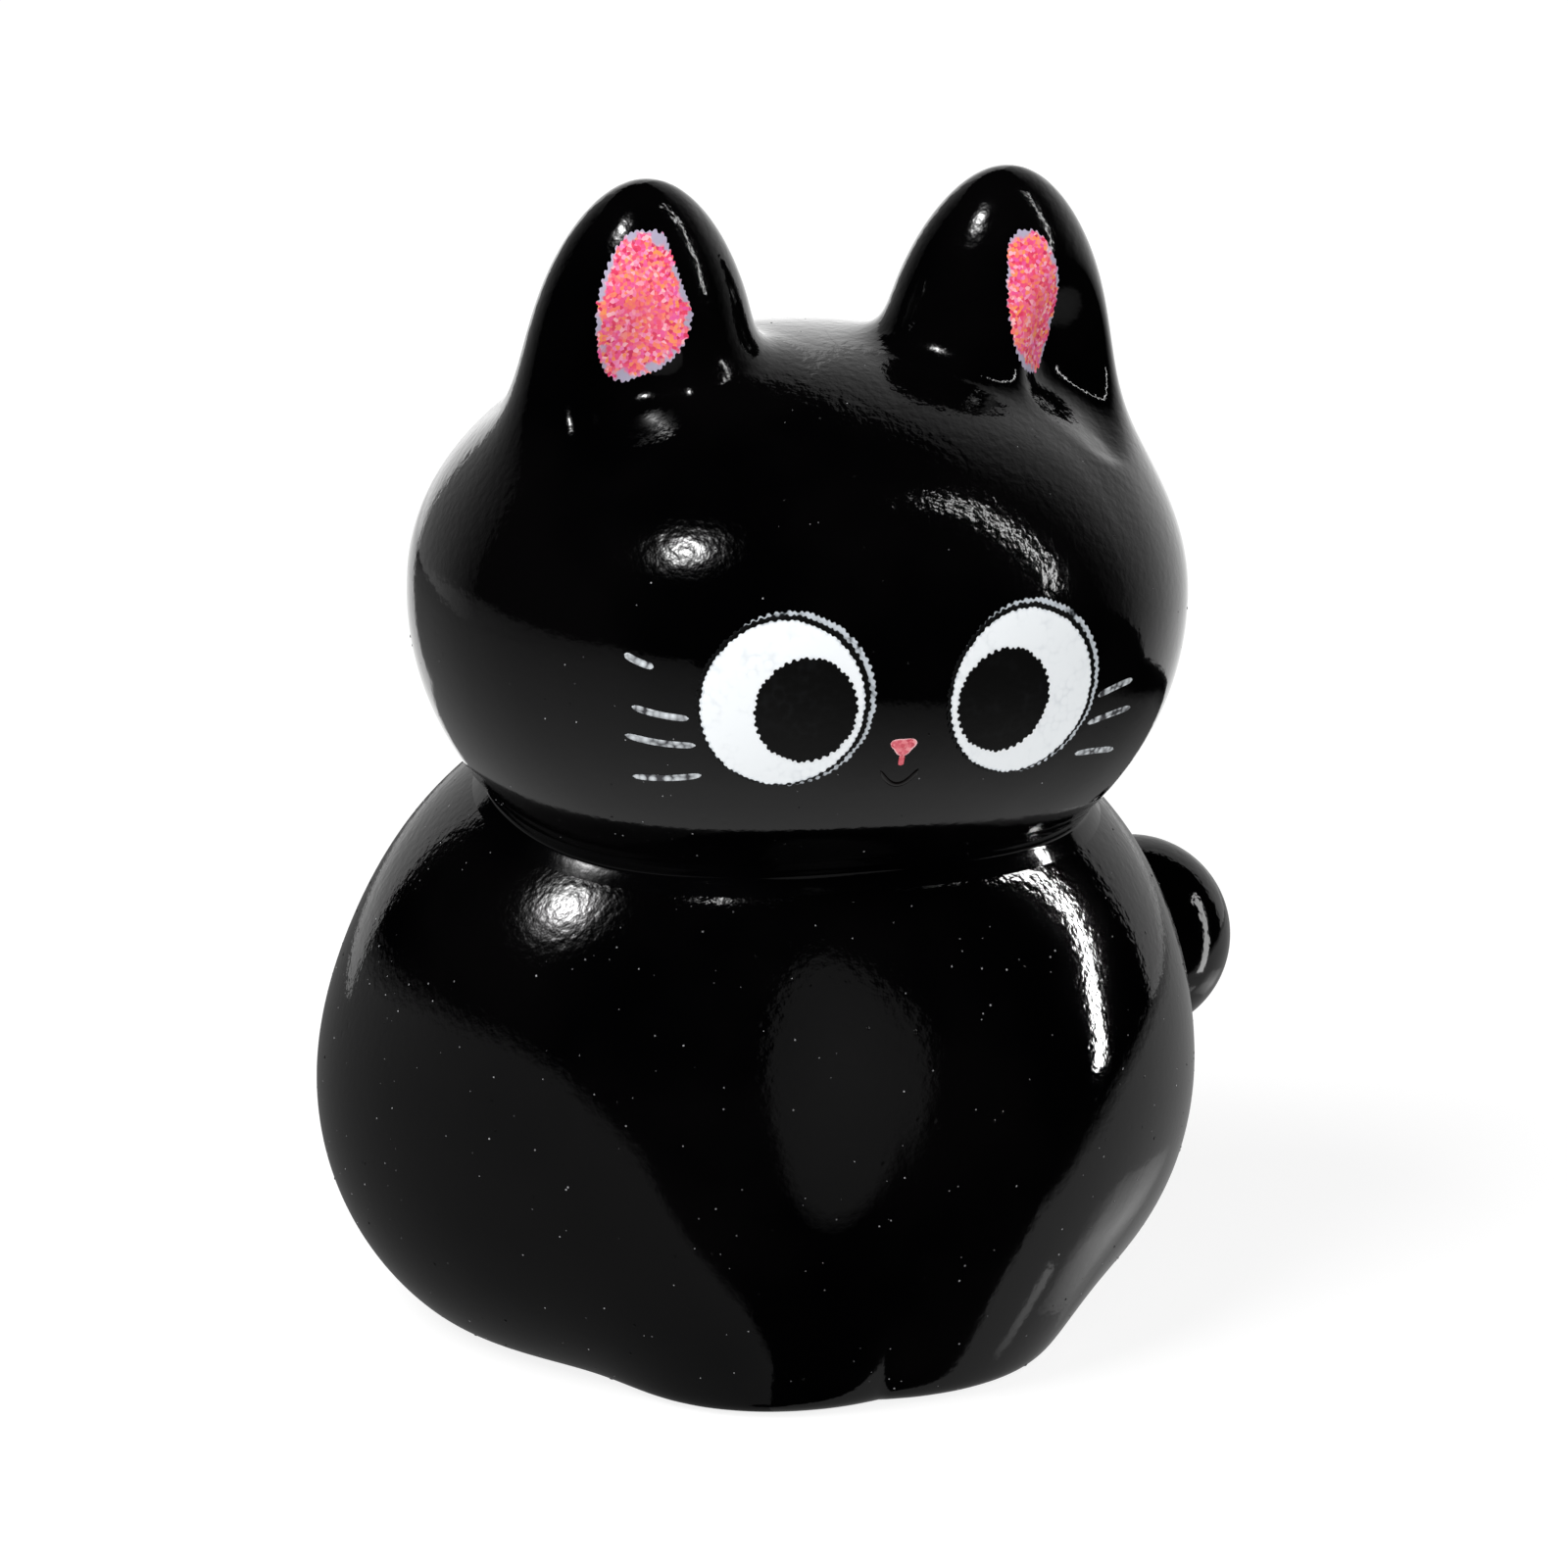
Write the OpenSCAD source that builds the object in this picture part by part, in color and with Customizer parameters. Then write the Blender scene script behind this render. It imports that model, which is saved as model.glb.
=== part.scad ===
// Small seated cat figurine in glazed ceramic, about 25 mm tall to the ear tips.
// Body and head are two hollow slip castings, luted together at the neck with a ring of slip.
// The ears and the bobtail are pressed pieces set on with slip, and the face is printed decals.
// The cat faces -Y, its left side is +X, and it stands on the plane z = 0.

/* [Head] */
// Width of the head across the cheeks
head_w = 15.9; // [15.5:0.1:16.3]
// Depth of the head from face to nape
head_d = 13.1; // [12.8:0.1:13.5]
// Rise of the crown above the widest level of the head
crown_rise = 5.35; // [5.1:0.05:5.6]
// Drop of the full egg shape below that level, most of which the neck cuts off
chin_drop = 6.65; // [6.4:0.05:6.8]
// Height of the widest level of the head above the base
head_z = 15.7; // [15.5:0.05:15.9]
// How far the head sits forward of the middle of the base
head_forward = 0.4; // [0.2:0.05:0.6]
// Lean of the head towards the cat's left, in degrees
head_lean = 3.3; // [0:0.1:4]

/* [Ears] */
// Distance of each ear's middle from the middle of the crown
ear_out = 3.8; // [3.6:0.05:4]
// Half the width of an ear at its middle
ear_half_w = 2.4; // [2.2:0.05:2.6]
// Half the thickness of an ear at its middle
ear_half_d = 1.75; // [1.6:0.05:1.9]
// Height of the ear tips above the base
ear_tip_z = 24.5; // [24:0.1:24.8]
// Depth of the dished front of an ear
ear_dish = 0.55; // [0.4:0.05:0.6]
// Turn of the left ear's dish away from the front, in degrees
left_dish_turn = 32; // [24:1:36]
// Turn of the right ear's dish away from the front, in degrees
right_dish_turn = 21; // [16:1:28]

/* [Body] */
// Width of the torso
torso_w = 17; // [16.6:0.1:17.4]
// Depth of the torso
torso_d = 16.8; // [16.4:0.1:17.2]
// Height of the widest level of the torso
torso_z = 5.9; // [5.7:0.05:6.1]
// Rise of the full egg shape above that level
torso_rise = 7.3; // [7.1:0.05:7.5]
// Bulge of the haunches beside the torso
haunch_half_w = 4.5; // [4.3:0.05:4.7]
// Softness with which torso, haunches and front legs run together
body_blend = 0.6; // [0.4:0.05:0.8]

/* [Tail] */
// Radius of the bobtail's round end
tail_r = 2.1; // [1.9:0.05:2.3]
// Turn of the tail from the cat's left towards its back, in degrees
tail_turn = 21; // [16:1:28]

/* [Casting] */
// Wall of the two hollow castings at its thinnest
wall = 1.2; // [1:0.05:1.4]
// Diameter of the drain hole in the base
drain_d = 2.6; // [2:0.1:3.4]
// Diameter of the passage between body and head
neck_hole_d = 3.4; // [2.6:0.1:3.6]
// Reach of the slip fillet up and down from the neck joint
slip_reach = 0.45; // [0.3:0.05:0.55]

/* [Printed face] */
// Distance of each eye from the middle of the face
eye_out = 2.55; // [2.45:0.05:2.7]
// Height of the eyes above the base
eye_z = 15.25; // [15:0.05:15.5]
// Half the width of an eye's white
eye_half_w = 1.64; // [1.5:0.02:1.7]
// Half the width of a pupil
pupil_half_w = 1.03; // [0.9:0.02:1.1]
// Height of the nose above the base
nose_z = 14.42; // [14.3:0.02:14.5]
// Width of a whisker stroke
whisker_w = 0.14; // [0.1:0.01:0.18]
// Thickness of one printed layer with its glaze
ink = 0.03; // [0.024:0.002:0.036]

/* [Hidden] */

black_glaze = [0.03, 0.03, 0.035];
slip_grey = [0.2, 0.2, 0.21];
print_white = [0.95, 0.96, 0.96];
print_black = [0.06, 0.06, 0.06];
nose_pink = [0.95, 0.45, 0.5];
ear_pink = [0.93, 0.55, 0.6];
air = 0.004;              // daylight between two pieces that lie on each other
tiny = 1e-9;
spokes = 56;              // points round each casting
bisections = 18;
near_skin = 1;            // from a casting's middle, its outside lies between these two distances
far_skin = 12;

// ---- head -------------------------------------------------------------------------------
head_mid = [0, -head_forward, head_z];
head_half = [head_w / 2, head_d / 2];
head_round = 2.25;        // 2 would be an ellipse seen from above
head_flat = 2.06;         // 2 would be an ellipse seen from the front
neck_mid = [0, 0.3, 11.5];
lean_pivot = [0, 0, 11.2];

// ---- ears, built in the head's own upright frame ------------------------------------------
ear_half = [ear_half_w, ear_half_d, 3.6];
ear_y = -0.8;
ear_mid = [ear_out, ear_y, ear_tip_z - ear_half.z];
ear_lean = 1.3;
ear_taper = 0.045;        // narrowing for each millimetre of height
ear_slimmest = 0.4;       // the taper never takes more than leaves this
ear_fullness = 0.8;       // scales the ear's gap, which evens out its fillet
ear_fillet = 1.1;         // reach of the fillet between ear and crown
ear_flare = 1.6;          // added reach on the outer side, where the root is smeared down
flare_over = 2.2;         // the added reach sets in over this distance from the ear's middle
ear_root = [ear_out, ear_y, 18.9];
dish_half = [1.6, 1.6, 3.6];
dish_away = ear_half_d - ear_dish + dish_half.y;   // from the ear's middle to the dish's
dish_sink = 0.7;          // how far the dish's middle sits below the ear's middle
dish_rim = 0.16;          // softness of the dish's rim

// ---- body ---------------------------------------------------------------------------------
torso_mid = [0, 0.76, torso_z];
torso_half = [torso_w / 2, torso_d / 2];
torso_round = 2.1;
torso_flat = 2.2;
haunch_mid = [4.37, 1.8, 4.4];
haunch_half = [haunch_half_w, 5.9, 4.9];
leg_mid = [1.05, -3.65, 3.1];
leg_half = [3.8, 3.05, 5];
foot_edge = 0.15;         // softness of the edge round the foot
foot_mid = [0, 0.8];
foot_flat_r = 4.2;        // the foot is flat at least this far out
drain_mid = [0, 2.5];

// ---- tail ---------------------------------------------------------------------------------
tail_out = 9.75;
tail_root_out = 6.6;
tail_z = 5.9;
tail_way = [cos(tail_turn), sin(tail_turn), 0];
tail_mid = tail_out * tail_way + [0, 0, tail_z];
tail_root = tail_root_out * tail_way + [0, 0, tail_z];
tail_slip = 0.22;

// ---- cavities left by the slip that was poured out ------------------------------------------
head_cavity_half = [head_w / 2 - wall, head_d / 2 - wall];
head_cavity_rise = crown_rise - wall;
spare = 0.2;              // the walls are this much thicker where the outside is not an egg
head_cavity_drop = head_z - neck_mid.z - wall - spare;
neck_lip = 0.35;          // height of the passage's rim above the bottom of the head's cavity
body_cavity_mid = [0, 0.6, 5.6];
body_cavity_half = [torso_w / 2 - wall - spare, torso_d / 2 - wall - spare];
body_cavity_top = 10.15;
body_cavity_rise = body_cavity_top - body_cavity_mid.z;
body_cavity_drop = body_cavity_mid.z - wall;
neck_hole_low = body_cavity_top - 0.1;
drain_rim = 0.15;         // height of the drain hole's rim above the bottom of the body's cavity
cavity_round = 2.1;       // both cavities are eggs too, squarer than an ellipsoid by this

// ---- small geometry helpers -----------------------------------------------------------------
function unit(v) = v / norm(v);
function mix(a, b, t) = a + (b - a) * t;
function ones(v) = [for (k = v) 1];
// soft minimum of several distances, and soft maximum of two
function melt(ds, h) = let (m = min(ds), e = [for (d = ds) exp((m - d) / h)]) m - h * ln(e * ones(e));
function melt_out(a, b, h) = -melt([-a, -b], h);
// a fillet that ends where one distance is larger than the other by near
function melt_near(a, b, near) = let (h = max(near - abs(a - b), 0) / near) min(a, b) - pow(h, 3) * near / 6;
function side_of(p) = [abs(p.x), p.y, p.z];
// rotation about Y, positive towards +X at the top, seen from the pivot
function leaned(p, a, at) = let (q = p - at)
    at + [q.x * cos(a) + q.z * sin(a), q.y, q.z * cos(a) - q.x * sin(a)];

// signed gap to an ellipsoid, and to an egg with squarer outlines
function ball_gap(q, r) =
    let (k = norm([q.x / r.x, q.y / r.y, q.z / r.z]) + tiny,
         g = norm([q.x / r.x / r.x, q.y / r.y / r.y, q.z / r.z / r.z]) + tiny)
    k * (k - 1) / g;
function egg_size(q, half, rise, drop, n, m) =
    let (plan = pow(abs(q.x) / half.x, n) + pow(abs(q.y) / half.y, n),
         z = q.z > 0 ? q.z / rise : -q.z / drop)
    pow(pow(plan, m / n) + pow(z, m), 1 / m) + tiny;
function egg_gap(q, half, rise, drop, n, m) = norm(q) * (1 - 1 / egg_size(q, half, rise, drop, n, m));

// ---- the outer surfaces as signed gaps: negative inside ----------------------------------------
bare_head = function (p) egg_gap(p - head_mid, head_half, crown_rise, chin_drop, head_round, head_flat);
// the head with one ear, on its left side; the right ear is drawn there too and mirrored
function eared_head(dish_turn) =
    let (dish_mid = [dish_away * sin(dish_turn), -dish_away * cos(dish_turn), -dish_sink])
    function (p)
        let (s = leaned(p, -ear_lean, ear_mid) - ear_mid,
             slim = max(ear_slimmest, 1 - ear_taper * s.z),
             ear = ear_fullness * ball_gap([s.x / slim, s.y / slim, s.z], ear_half),
             dish = ball_gap(s - dish_mid, dish_half),
             t = max(0, min(1, s.x / flare_over)))
        melt_near(bare_head(p), melt_out(ear, -dish, dish_rim), ear_fillet + ear_flare * t * t * (3 - 2 * t));
left_eared_head = eared_head(left_dish_turn);
right_eared_head = eared_head(right_dish_turn);
bare_body = function (p)
    let (s = side_of(p),
         torso = egg_gap(p - torso_mid, torso_half, torso_rise, torso_rise, torso_round, torso_flat),
         haunch = ball_gap(s - haunch_mid, haunch_half),
         leg = ball_gap(s - leg_mid, leg_half))
    melt_out(melt([torso, haunch, leg], body_blend), -p.z, foot_edge);
tailed_body = function (p) melt([bare_body(p), norm(p - tail_mid) - tail_r], tail_slip);
placed_head = function (p) bare_head(leaned(p, -head_lean, lean_pivot));

// distance from o along d at which a surface is crossed on the way out
function reach(gap, o, d, near, far, n = bisections) =
    let (m = (near + far) / 2)
    n == 0 ? m : gap(o + m * d) < 0 ? reach(gap, o, d, m, far, n - 1) : reach(gap, o, d, near, m, n - 1);
function outward(gap, p) = let (e = 0.01)
    unit([gap(p + [e, 0, 0]) - gap(p - [e, 0, 0]),
          gap(p + [0, e, 0]) - gap(p - [0, e, 0]),
          gap(p + [0, 0, e]) - gap(p - [0, 0, e])]);

// ---- the neck joint: where the outlines of head and body meet on each spoke ---------------------
function spoke(i) = [cos(360 * i / spokes), sin(360 * i / spokes), 0];
neck_span = [10, 13.2];   // the joint lies between these heights all round
neck_halvings = 14;
function neck_level(d, low, high, n = neck_halvings) =
    let (m = (low + high) / 2,
         o = [neck_mid.x, neck_mid.y, m],
         r_head = reach(placed_head, o, d, 0, far_skin, neck_halvings),
         r_body = reach(bare_body, o, d, 0, far_skin, neck_halvings))
    n == 0 ? [r_body, m] : r_head < r_body ? neck_level(d, m, high, n - 1) : neck_level(d, low, m, n - 1);
function neck_edge(i) = let (d = spoke(i), at = neck_level(d, neck_span[0], neck_span[1]))
    [neck_mid.x, neck_mid.y, at[1]] + at[0] * d;
function round_ring(mid, r, z) = [for (i = [0:spokes - 1]) [mid.x, mid.y, z] + r * spoke(i)];

// ring of points on a surface, between two sets of directions from one middle
function arc_dir(a, b, t) =
    let (w = acos(min(1, a * b))) w < 0.01 ? a : (a * sin((1 - t) * w) + b * sin(t * w)) / sin(w);
function skin_ring(gap, mid, a, b, t) = [for (i = [0:spokes - 1])
    let (d = unit(arc_dir(a[i], b[i], t))) mid + d * reach(gap, mid, d, near_skin, far_skin)];
function dirs(mid, ring) = [for (p = ring) unit(p - mid)];
function cavity_ring(mid, half, rise, drop, a, b, t) = [for (i = [0:spokes - 1])
    let (d = unit(arc_dir(a[i], b[i], t))) mid + d / egg_size(d, half, rise, drop, cavity_round, cavity_round)];

// ---- closed meshes from rings -------------------------------------------------------------------
// the triangles between ring j and ring k, each quad split along the diagonal that crossed picks
function band(n, j, k, crossed = false) = [for (i = [0:n - 1])
    let (a = j * n + i, b = j * n + (i + 1) % n, c = k * n + i, d = k * n + (i + 1) % n)
    each crossed ? [[a, b, d], [a, d, c]] : [[a, b, c], [b, d, c]]];
// rings joined into a loop, as a hollow piece open at both ends is; the last band, where the body meets
// the head, is split the other way, so that the two pieces' faces there are the same triangles
module loop_solid(rings) {
    m = len(rings);
    n = len(rings[0]);
    faces = [for (j = [0:m - 1]) each band(n, j, (j + 1) % m, j == m - 1)];
    polyhedron([for (r = rings) each r], faces);
}
// rings between two end points, as a closed piece is
module capped_solid(first, rings, last) {
    m = len(rings);
    n = len(rings[0]);
    walls = [for (j = [0:1:m - 2]) each band(n, j, j + 1)];
    start = [for (i = [0:n - 1]) [m * n, (i + 1) % n, i]];
    finish = [for (i = [0:n - 1]) [m * n + 1, (m - 1) * n + i, (m - 1) * n + (i + 1) % n]];
    polyhedron([for (r = rings) each r, first, last], concat(start, walls, finish));
}
module on_neck() {
    translate(lean_pivot) rotate([0, head_lean, 0]) translate(-lean_pivot) children();
}

// ---- castings -------------------------------------------------------------------------------------
module body() {
    mid = body_cavity_mid;
    edge = [for (i = [0:spokes - 1]) neck_edge(i)];
    foot = round_ring(foot_mid, foot_flat_r, 0);
    from_edge = dirs(mid, edge);
    to_foot = dirs(mid, foot);
    side_rings = 34;
    side = [for (j = [1:side_rings - 1]) skin_ring(bare_body, mid, from_edge, to_foot, j / side_rings)];
    drain_low = round_ring(drain_mid, drain_d / 2, 0);
    drain_high = round_ring(drain_mid, drain_d / 2, wall + drain_rim);
    neck_low = round_ring(neck_mid, neck_hole_d / 2, neck_hole_low);
    neck_high = round_ring(neck_mid, neck_hole_d / 2, neck_mid.z);
    up = dirs(mid, drain_high);
    down = dirs(mid, neck_low);
    level = [for (i = [0:spokes - 1]) spoke(i)];
    function hollow(a, b, t) = cavity_ring(mid, body_cavity_half, body_cavity_rise, body_cavity_drop, a, b, t);
    cavity_rings = 7;
    cavity_floor = [for (j = [1:cavity_rings]) hollow(up, level, j / cavity_rings)];
    cavity_roof = [for (j = [1:cavity_rings - 1]) hollow(level, down, j / cavity_rings)];
    color(black_glaze) loop_solid(concat([edge], side, [foot, drain_low, drain_high],
                                         cavity_floor, cavity_roof, [neck_low, neck_high]));
}
module head() {
    mid = head_mid;
    pivoted = [for (i = [0:spokes - 1]) leaned(neck_edge(i), -head_lean, lean_pivot)];
    seat = [for (p = round_ring(neck_mid, neck_hole_d / 2, neck_mid.z)) leaned(p, -head_lean, lean_pivot)];
    neck_top = round_ring(neck_mid, neck_hole_d / 2, neck_mid.z + wall + neck_lip);
    from_edge = dirs(mid, pivoted);
    to_crown = [for (i = [0:spokes - 1]) [0, 0, 1]];
    skin_rings = 30;
    skin = [for (j = [skin_rings - 1:-1:1]) skin_ring(bare_head, mid, from_edge, to_crown, j / skin_rings)];
    up = dirs(mid, neck_top);
    cavity_rings = 12;
    cavity = [for (j = [1:cavity_rings - 1])
        cavity_ring(mid, head_cavity_half, head_cavity_rise, head_cavity_drop, up, to_crown, j / cavity_rings)];
    crown = mid + [0, 0, crown_rise];
    cavity_top = mid + [0, 0, head_cavity_rise];
    color(black_glaze) on_neck()
        capped_solid(crown, concat(skin, [pivoted, seat, neck_top], cavity), cavity_top);
}
// slip pressed into the groove between the castings: three points up the head, three down the body
module neck_slip_ring() {
    edge = [for (i = [0:spokes - 1]) neck_edge(i)];
    head_c = leaned(head_mid, head_lean, lean_pivot);
    body_c = torso_mid;
    step = slip_reach / 2;
    // the point on a surface that is z above the joint, and pushed out with it
    function along(gap, c, p, z) =
        let (q = p + [0, 0, z] + abs(z) / 2 * unit([p.x, p.y, 0]), d = unit(q - c))
        c + d * (reach(gap, c, d, near_skin, far_skin) + air);
    inner = [for (p = edge) p + air * unit([p.x, p.y, 0])];
    up1 = [for (p = edge) along(placed_head, head_c, p, step)];
    up2 = [for (p = edge) along(placed_head, head_c, p, 2 * step)];
    down1 = [for (p = edge) along(bare_body, body_c, p, -step)];
    down2 = [for (p = edge) along(bare_body, body_c, p, -2 * step)];
    belly_in = 0.3;           // how far a finger has pressed the slip in, 1 is all the way
    belly = [for (i = [0:spokes - 1]) mix(mix(up2[i], down2[i], 0.5), inner[i], belly_in)];
    color(slip_grey) loop_solid([inner, up1, up2, belly, down2, down1]);
}

// ---- pieces grown on a casting ------------------------------------------------------------------------
// a lump between a host surface and the host with the lump on it, as far out as it stands proud of the host
lump_spokes = 40;
seat_air = 0.026;          // daylight under a lump, clear of the facets of the host
proud = 0.04;
narrowest = 5;            // in degrees from the lump's axis, its edge lies further out than this
far_lump = 9;
function lump_dir(axis, a, b) =
    let (u = unit(cross(axis, abs(axis.z) > 0.7 ? [0, 1, 0] : [0, 0, 1])), v = cross(axis, u))
    cos(b) * axis + sin(b) * (cos(a) * u + sin(a) * v);
function stands_proud(host, grown, o, d) = reach(grown, o, d, 0, far_lump) - reach(host, o, d, 0, far_lump);
function lump_edge(host, grown, o, axis, a, low, high, n = 9) =
    let (m = (low + high) / 2)
    n == 0 ? m : stands_proud(host, grown, o, lump_dir(axis, a, m)) > proud
        ? lump_edge(host, grown, o, axis, a, m, high, n - 1)
        : lump_edge(host, grown, o, axis, a, low, m, n - 1);
module lump(host, grown, o, axis, rings, root_rings, widest) {
    angles = [for (i = [0:lump_spokes - 1]) 360 * i / lump_spokes];
    edge = [for (a = angles) lump_edge(host, grown, o, axis, a, narrowest, widest)];
    outer = [for (j = [1:rings]) [for (i = [0:lump_spokes - 1])
        let (d = lump_dir(axis, angles[i], edge[i] * j / rings)) o + d * reach(grown, o, d, 0, far_lump)]];
    inner = [for (j = [root_rings:-1:1]) [for (i = [0:lump_spokes - 1])
        let (d = lump_dir(axis, angles[i], edge[i] * j / root_rings))
        o + d * (reach(host, o, d, 0, far_lump) + seat_air)]];
    tip = o + axis * reach(grown, o, axis, 0, far_lump);
    root = o + axis * (reach(host, o, axis, 0, far_lump) + seat_air);
    capped_solid(tip, concat(outer, inner), root);
}
module ear(grown) {
    lump(bare_head, grown, ear_root, [0, 0, 1], rings = 18, root_rings = 12, widest = 125);
}
module ear_left() { color(black_glaze) on_neck() ear(left_eared_head); }
module ear_right() { color(black_glaze) on_neck() mirror([1, 0, 0]) ear(right_eared_head); }
module tail() {
    color(black_glaze)
        lump(bare_body, tailed_body, tail_root, tail_way, rings = 14, root_rings = 6, widest = 100);
}

// ---- printed decals: thin skins laid on a surface -------------------------------------------------------
// a flat sheet's own frame: where it is centred, which way it faces, and its two edges
function sheet(gap, x, z) =
    let (c = [x, -reach(gap, [x, 0, z], [0, -1, 0], 0, far_skin), z],
         n = outward(gap, c),
         u = unit(cross([0, 0, 1], n)))
    [c, n, u, cross(n, u)];
behind = 3;               // the surface is looked for from this far behind the sheet
seek = 5;                 // and over this distance
function laid(gap, s, q, lift) =
    let (b = s[0] + q.x * s[2] + q.y * s[3] - behind * s[1],
         p = b + s[1] * reach(gap, b, s[1], 0, seek))
    p + outward(gap, p) * lift;
// a filled outline, given as a function from angle to point, in the printed layer of that number
module patch(gap, s, outline, layer, rings, n) {
    low = layer * (ink + air) + air;
    high = low + ink;
    shape = [for (i = [0:n - 1]) outline(360 * i / n)];
    middle = ones(shape) * shape / n;
    under = [for (j = [1:rings]) [for (p = shape) laid(gap, s, mix(middle, p, j / rings), low)]];
    over = [for (j = [rings:-1:1]) [for (p = shape) laid(gap, s, mix(middle, p, j / rings), high)]];
    capped_solid(laid(gap, s, middle, high),
                 concat([for (j = [rings - 1:-1:0]) over[j]], [for (j = [rings - 1:-1:0]) under[j]]),
                 laid(gap, s, middle, low));
}
// a brush-like stroke along a path of points, rounded in plan at both ends
module stroke(gap, s, path, width, layer) {
    low = layer * (ink + air) + air;
    high = low + ink;
    last = len(path) - 1;
    function across(i) = let (t = unit(path[min(i + 1, last)] - path[max(i - 1, 0)])) [-t.y, t.x];
    function half_at(i) = width / 2 * sqrt(max(0.2, 1 - pow(abs(2 * i / last - 1), 6)));
    rings = [for (i = [0:last]) let (w = across(i) * half_at(i))
        [laid(gap, s, path[i] - w, low), laid(gap, s, path[i] - w, high),
         laid(gap, s, path[i] + w, high), laid(gap, s, path[i] + w, low)]];
    points = [for (r = rings) each r];
    walls = [for (j = [0:last - 1], i = [0:3]) let (a = 4 * j + i, b = 4 * j + (i + 1) % 4)
        [a, b, b + 4, a + 4]];
    split = [for (f = walls) each [[f[0], f[1], f[2]], [f[0], f[2], f[3]]]];
    end = 4 * last;
    ends = [[0, 3, 2], [0, 2, 1], [end, end + 1, end + 2], [end, end + 2, end + 3]];
    polyhedron(points, concat(split, ends));
}
oval = function (w, h, shift) function (a) shift + [w * cos(a), h * sin(a)];

module eye_layer(side, shape, layer) {
    on_neck() patch(bare_head, sheet(bare_head, side * eye_out, eye_z), shape, layer, 4, 40);
}
rim_slip = [0.11, 0.06];  // the white underprint slipped by this, and the black outline by a little
outline_slip = [0.02, 0.03];
rim_shape = oval(eye_half_w + 0.12, eye_half_w + 0.18, rim_slip);
outline_shape = oval(eye_half_w + 0.1, eye_half_w + 0.14, outline_slip);
white_shape = oval(eye_half_w, eye_half_w + 0.07, [0, 0]);
module eye_rim_left() { color(print_white) eye_layer(1, rim_shape, 0); }
module eye_rim_right() { color(print_white) eye_layer(-1, rim_shape, 0); }
module eye_outline_left() { color(print_black) eye_layer(1, outline_shape, 1); }
module eye_outline_right() { color(print_black) eye_layer(-1, outline_shape, 1); }
module eye_white_left() { color(print_white) eye_layer(1, white_shape, 2); }
module eye_white_right() { color(print_white) eye_layer(-1, white_shape, 2); }

pupil_in = 0.46;
pupil_down = 0.1;
module pupil(side) {
    at = [-side * pupil_in, -pupil_down];
    on_neck() patch(bare_head, sheet(bare_head, side * eye_out, eye_z),
                    oval(pupil_half_w, pupil_half_w + 0.06, at), 3, 3, 32);
}
module pupil_left() { color(print_black) pupil(1); }
module pupil_right() { color(print_black) pupil(-1); }

// the nose is a rounded triangle that points down
nose_r = 0.26;
nose_corners = 0.16;      // how far the three corners stand out, as a part of the radius
nose_squash = 0.72;       // height over width
nose_down = 0.1;
nose_shape = function (a)
    let (r = nose_r * (1 + nose_corners * sin(3 * a))) [r * cos(a), nose_squash * r * sin(a)];
module nose() {
    color(nose_pink) on_neck() patch(bare_head, sheet(bare_head, 0, nose_z - nose_down), nose_shape, 0, 2, 24);
}
fine_stroke = 0.12;
module nose_stem() {
    top = -0.3;
    bottom = -0.54;
    steps = 4;
    path = [for (k = [0:steps]) [0, mix(top, bottom, k / steps)]];
    color(nose_pink) on_neck() stroke(bare_head, sheet(bare_head, 0, nose_z), path, fine_stroke, 0);
}
module mouth() {
    half_w = 0.4;
    corners = -0.66;
    sag = 0.34;
    steps = 6;
    path = [for (k = [-steps:steps]) [half_w * k / steps, corners - sag * (1 - pow(k / steps, 2))]];
    color(black_glaze) on_neck() stroke(bare_head, sheet(bare_head, 0, nose_z), path, fine_stroke, 0);
}

// strokes on each cheek: where each starts and ends, outwards and up from the cheek's middle; the right
// cheek has a fourth and its strokes start nearer the eye
cheek = [4.75, 14.3];
whisker_ends = [[[-0.45, 0.6], [0.6, 0.74]], [[-0.6, 0.02], [0.72, 0.1]], [[-0.72, -0.66], [0.56, -0.84]]];
fourth_whisker = [[0.2, 1.6], [0.8, 1.78]];
right_longer = 0.1;
module whiskers(side, ends, longer) {
    s = sheet(bare_head, side * cheek.x, cheek.y);
    steps = 6;
    for (w = ends) {
        path = [for (k = [0:steps]) let (p = mix(w[0] - [longer, 0], w[1], k / steps)) [side * p.x, p.y]];
        stroke(bare_head, s, path, whisker_w, 0);
    }
}
module whiskers_left() { color(print_white) on_neck() whiskers(1, whisker_ends, 0); }
module whiskers_right() {
    color(print_white) on_neck() whiskers(-1, concat(whisker_ends, [fourth_whisker]), right_longer);
}

// the inner ear is a leaf printed in the dish of the ear; slant narrows its top on the inner side and
// draws its lower end outwards, and is stronger on the right ear
leaf_half_h = 1.45;
leaf_squareness = 0.82;   // 1 would be an ellipse
leaf_narrow = 0.65;
leaf_round = 0.2;
leaf_drop = 0.42;
function squared(v) = sign(v) * pow(abs(v), leaf_squareness);
function leaf(half_w, slant) = function (a)
    let (c = squared(cos(a)),
         s = squared(sin(a)),
         top = max(0, s),
         x = half_w * c * (1 - leaf_narrow * slant * top * max(0, -c) - leaf_round * top * max(0, c)))
    [x, leaf_half_h * s - leaf_drop * slant * x * max(0, -s)];
leaf_layer = 0.5;         // half a layer up, clear of the facets of the dish
module inner_ear(grown, half_w, slant, out, down) {
    patch(grown, sheet(grown, ear_out + out, ear_tip_z - down), leaf(half_w, slant), leaf_layer, 6, 32);
}
module inner_ear_left() {
    color(ear_pink) on_neck() inner_ear(left_eared_head, half_w = 0.62, slant = 0.3, out = 0.27, down = 2.5);
}
module inner_ear_right() {
    color(ear_pink) on_neck() mirror([1, 0, 0])
        inner_ear(right_eared_head, half_w = 0.95, slant = 1, out = 0.45, down = 2.3);
}

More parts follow.
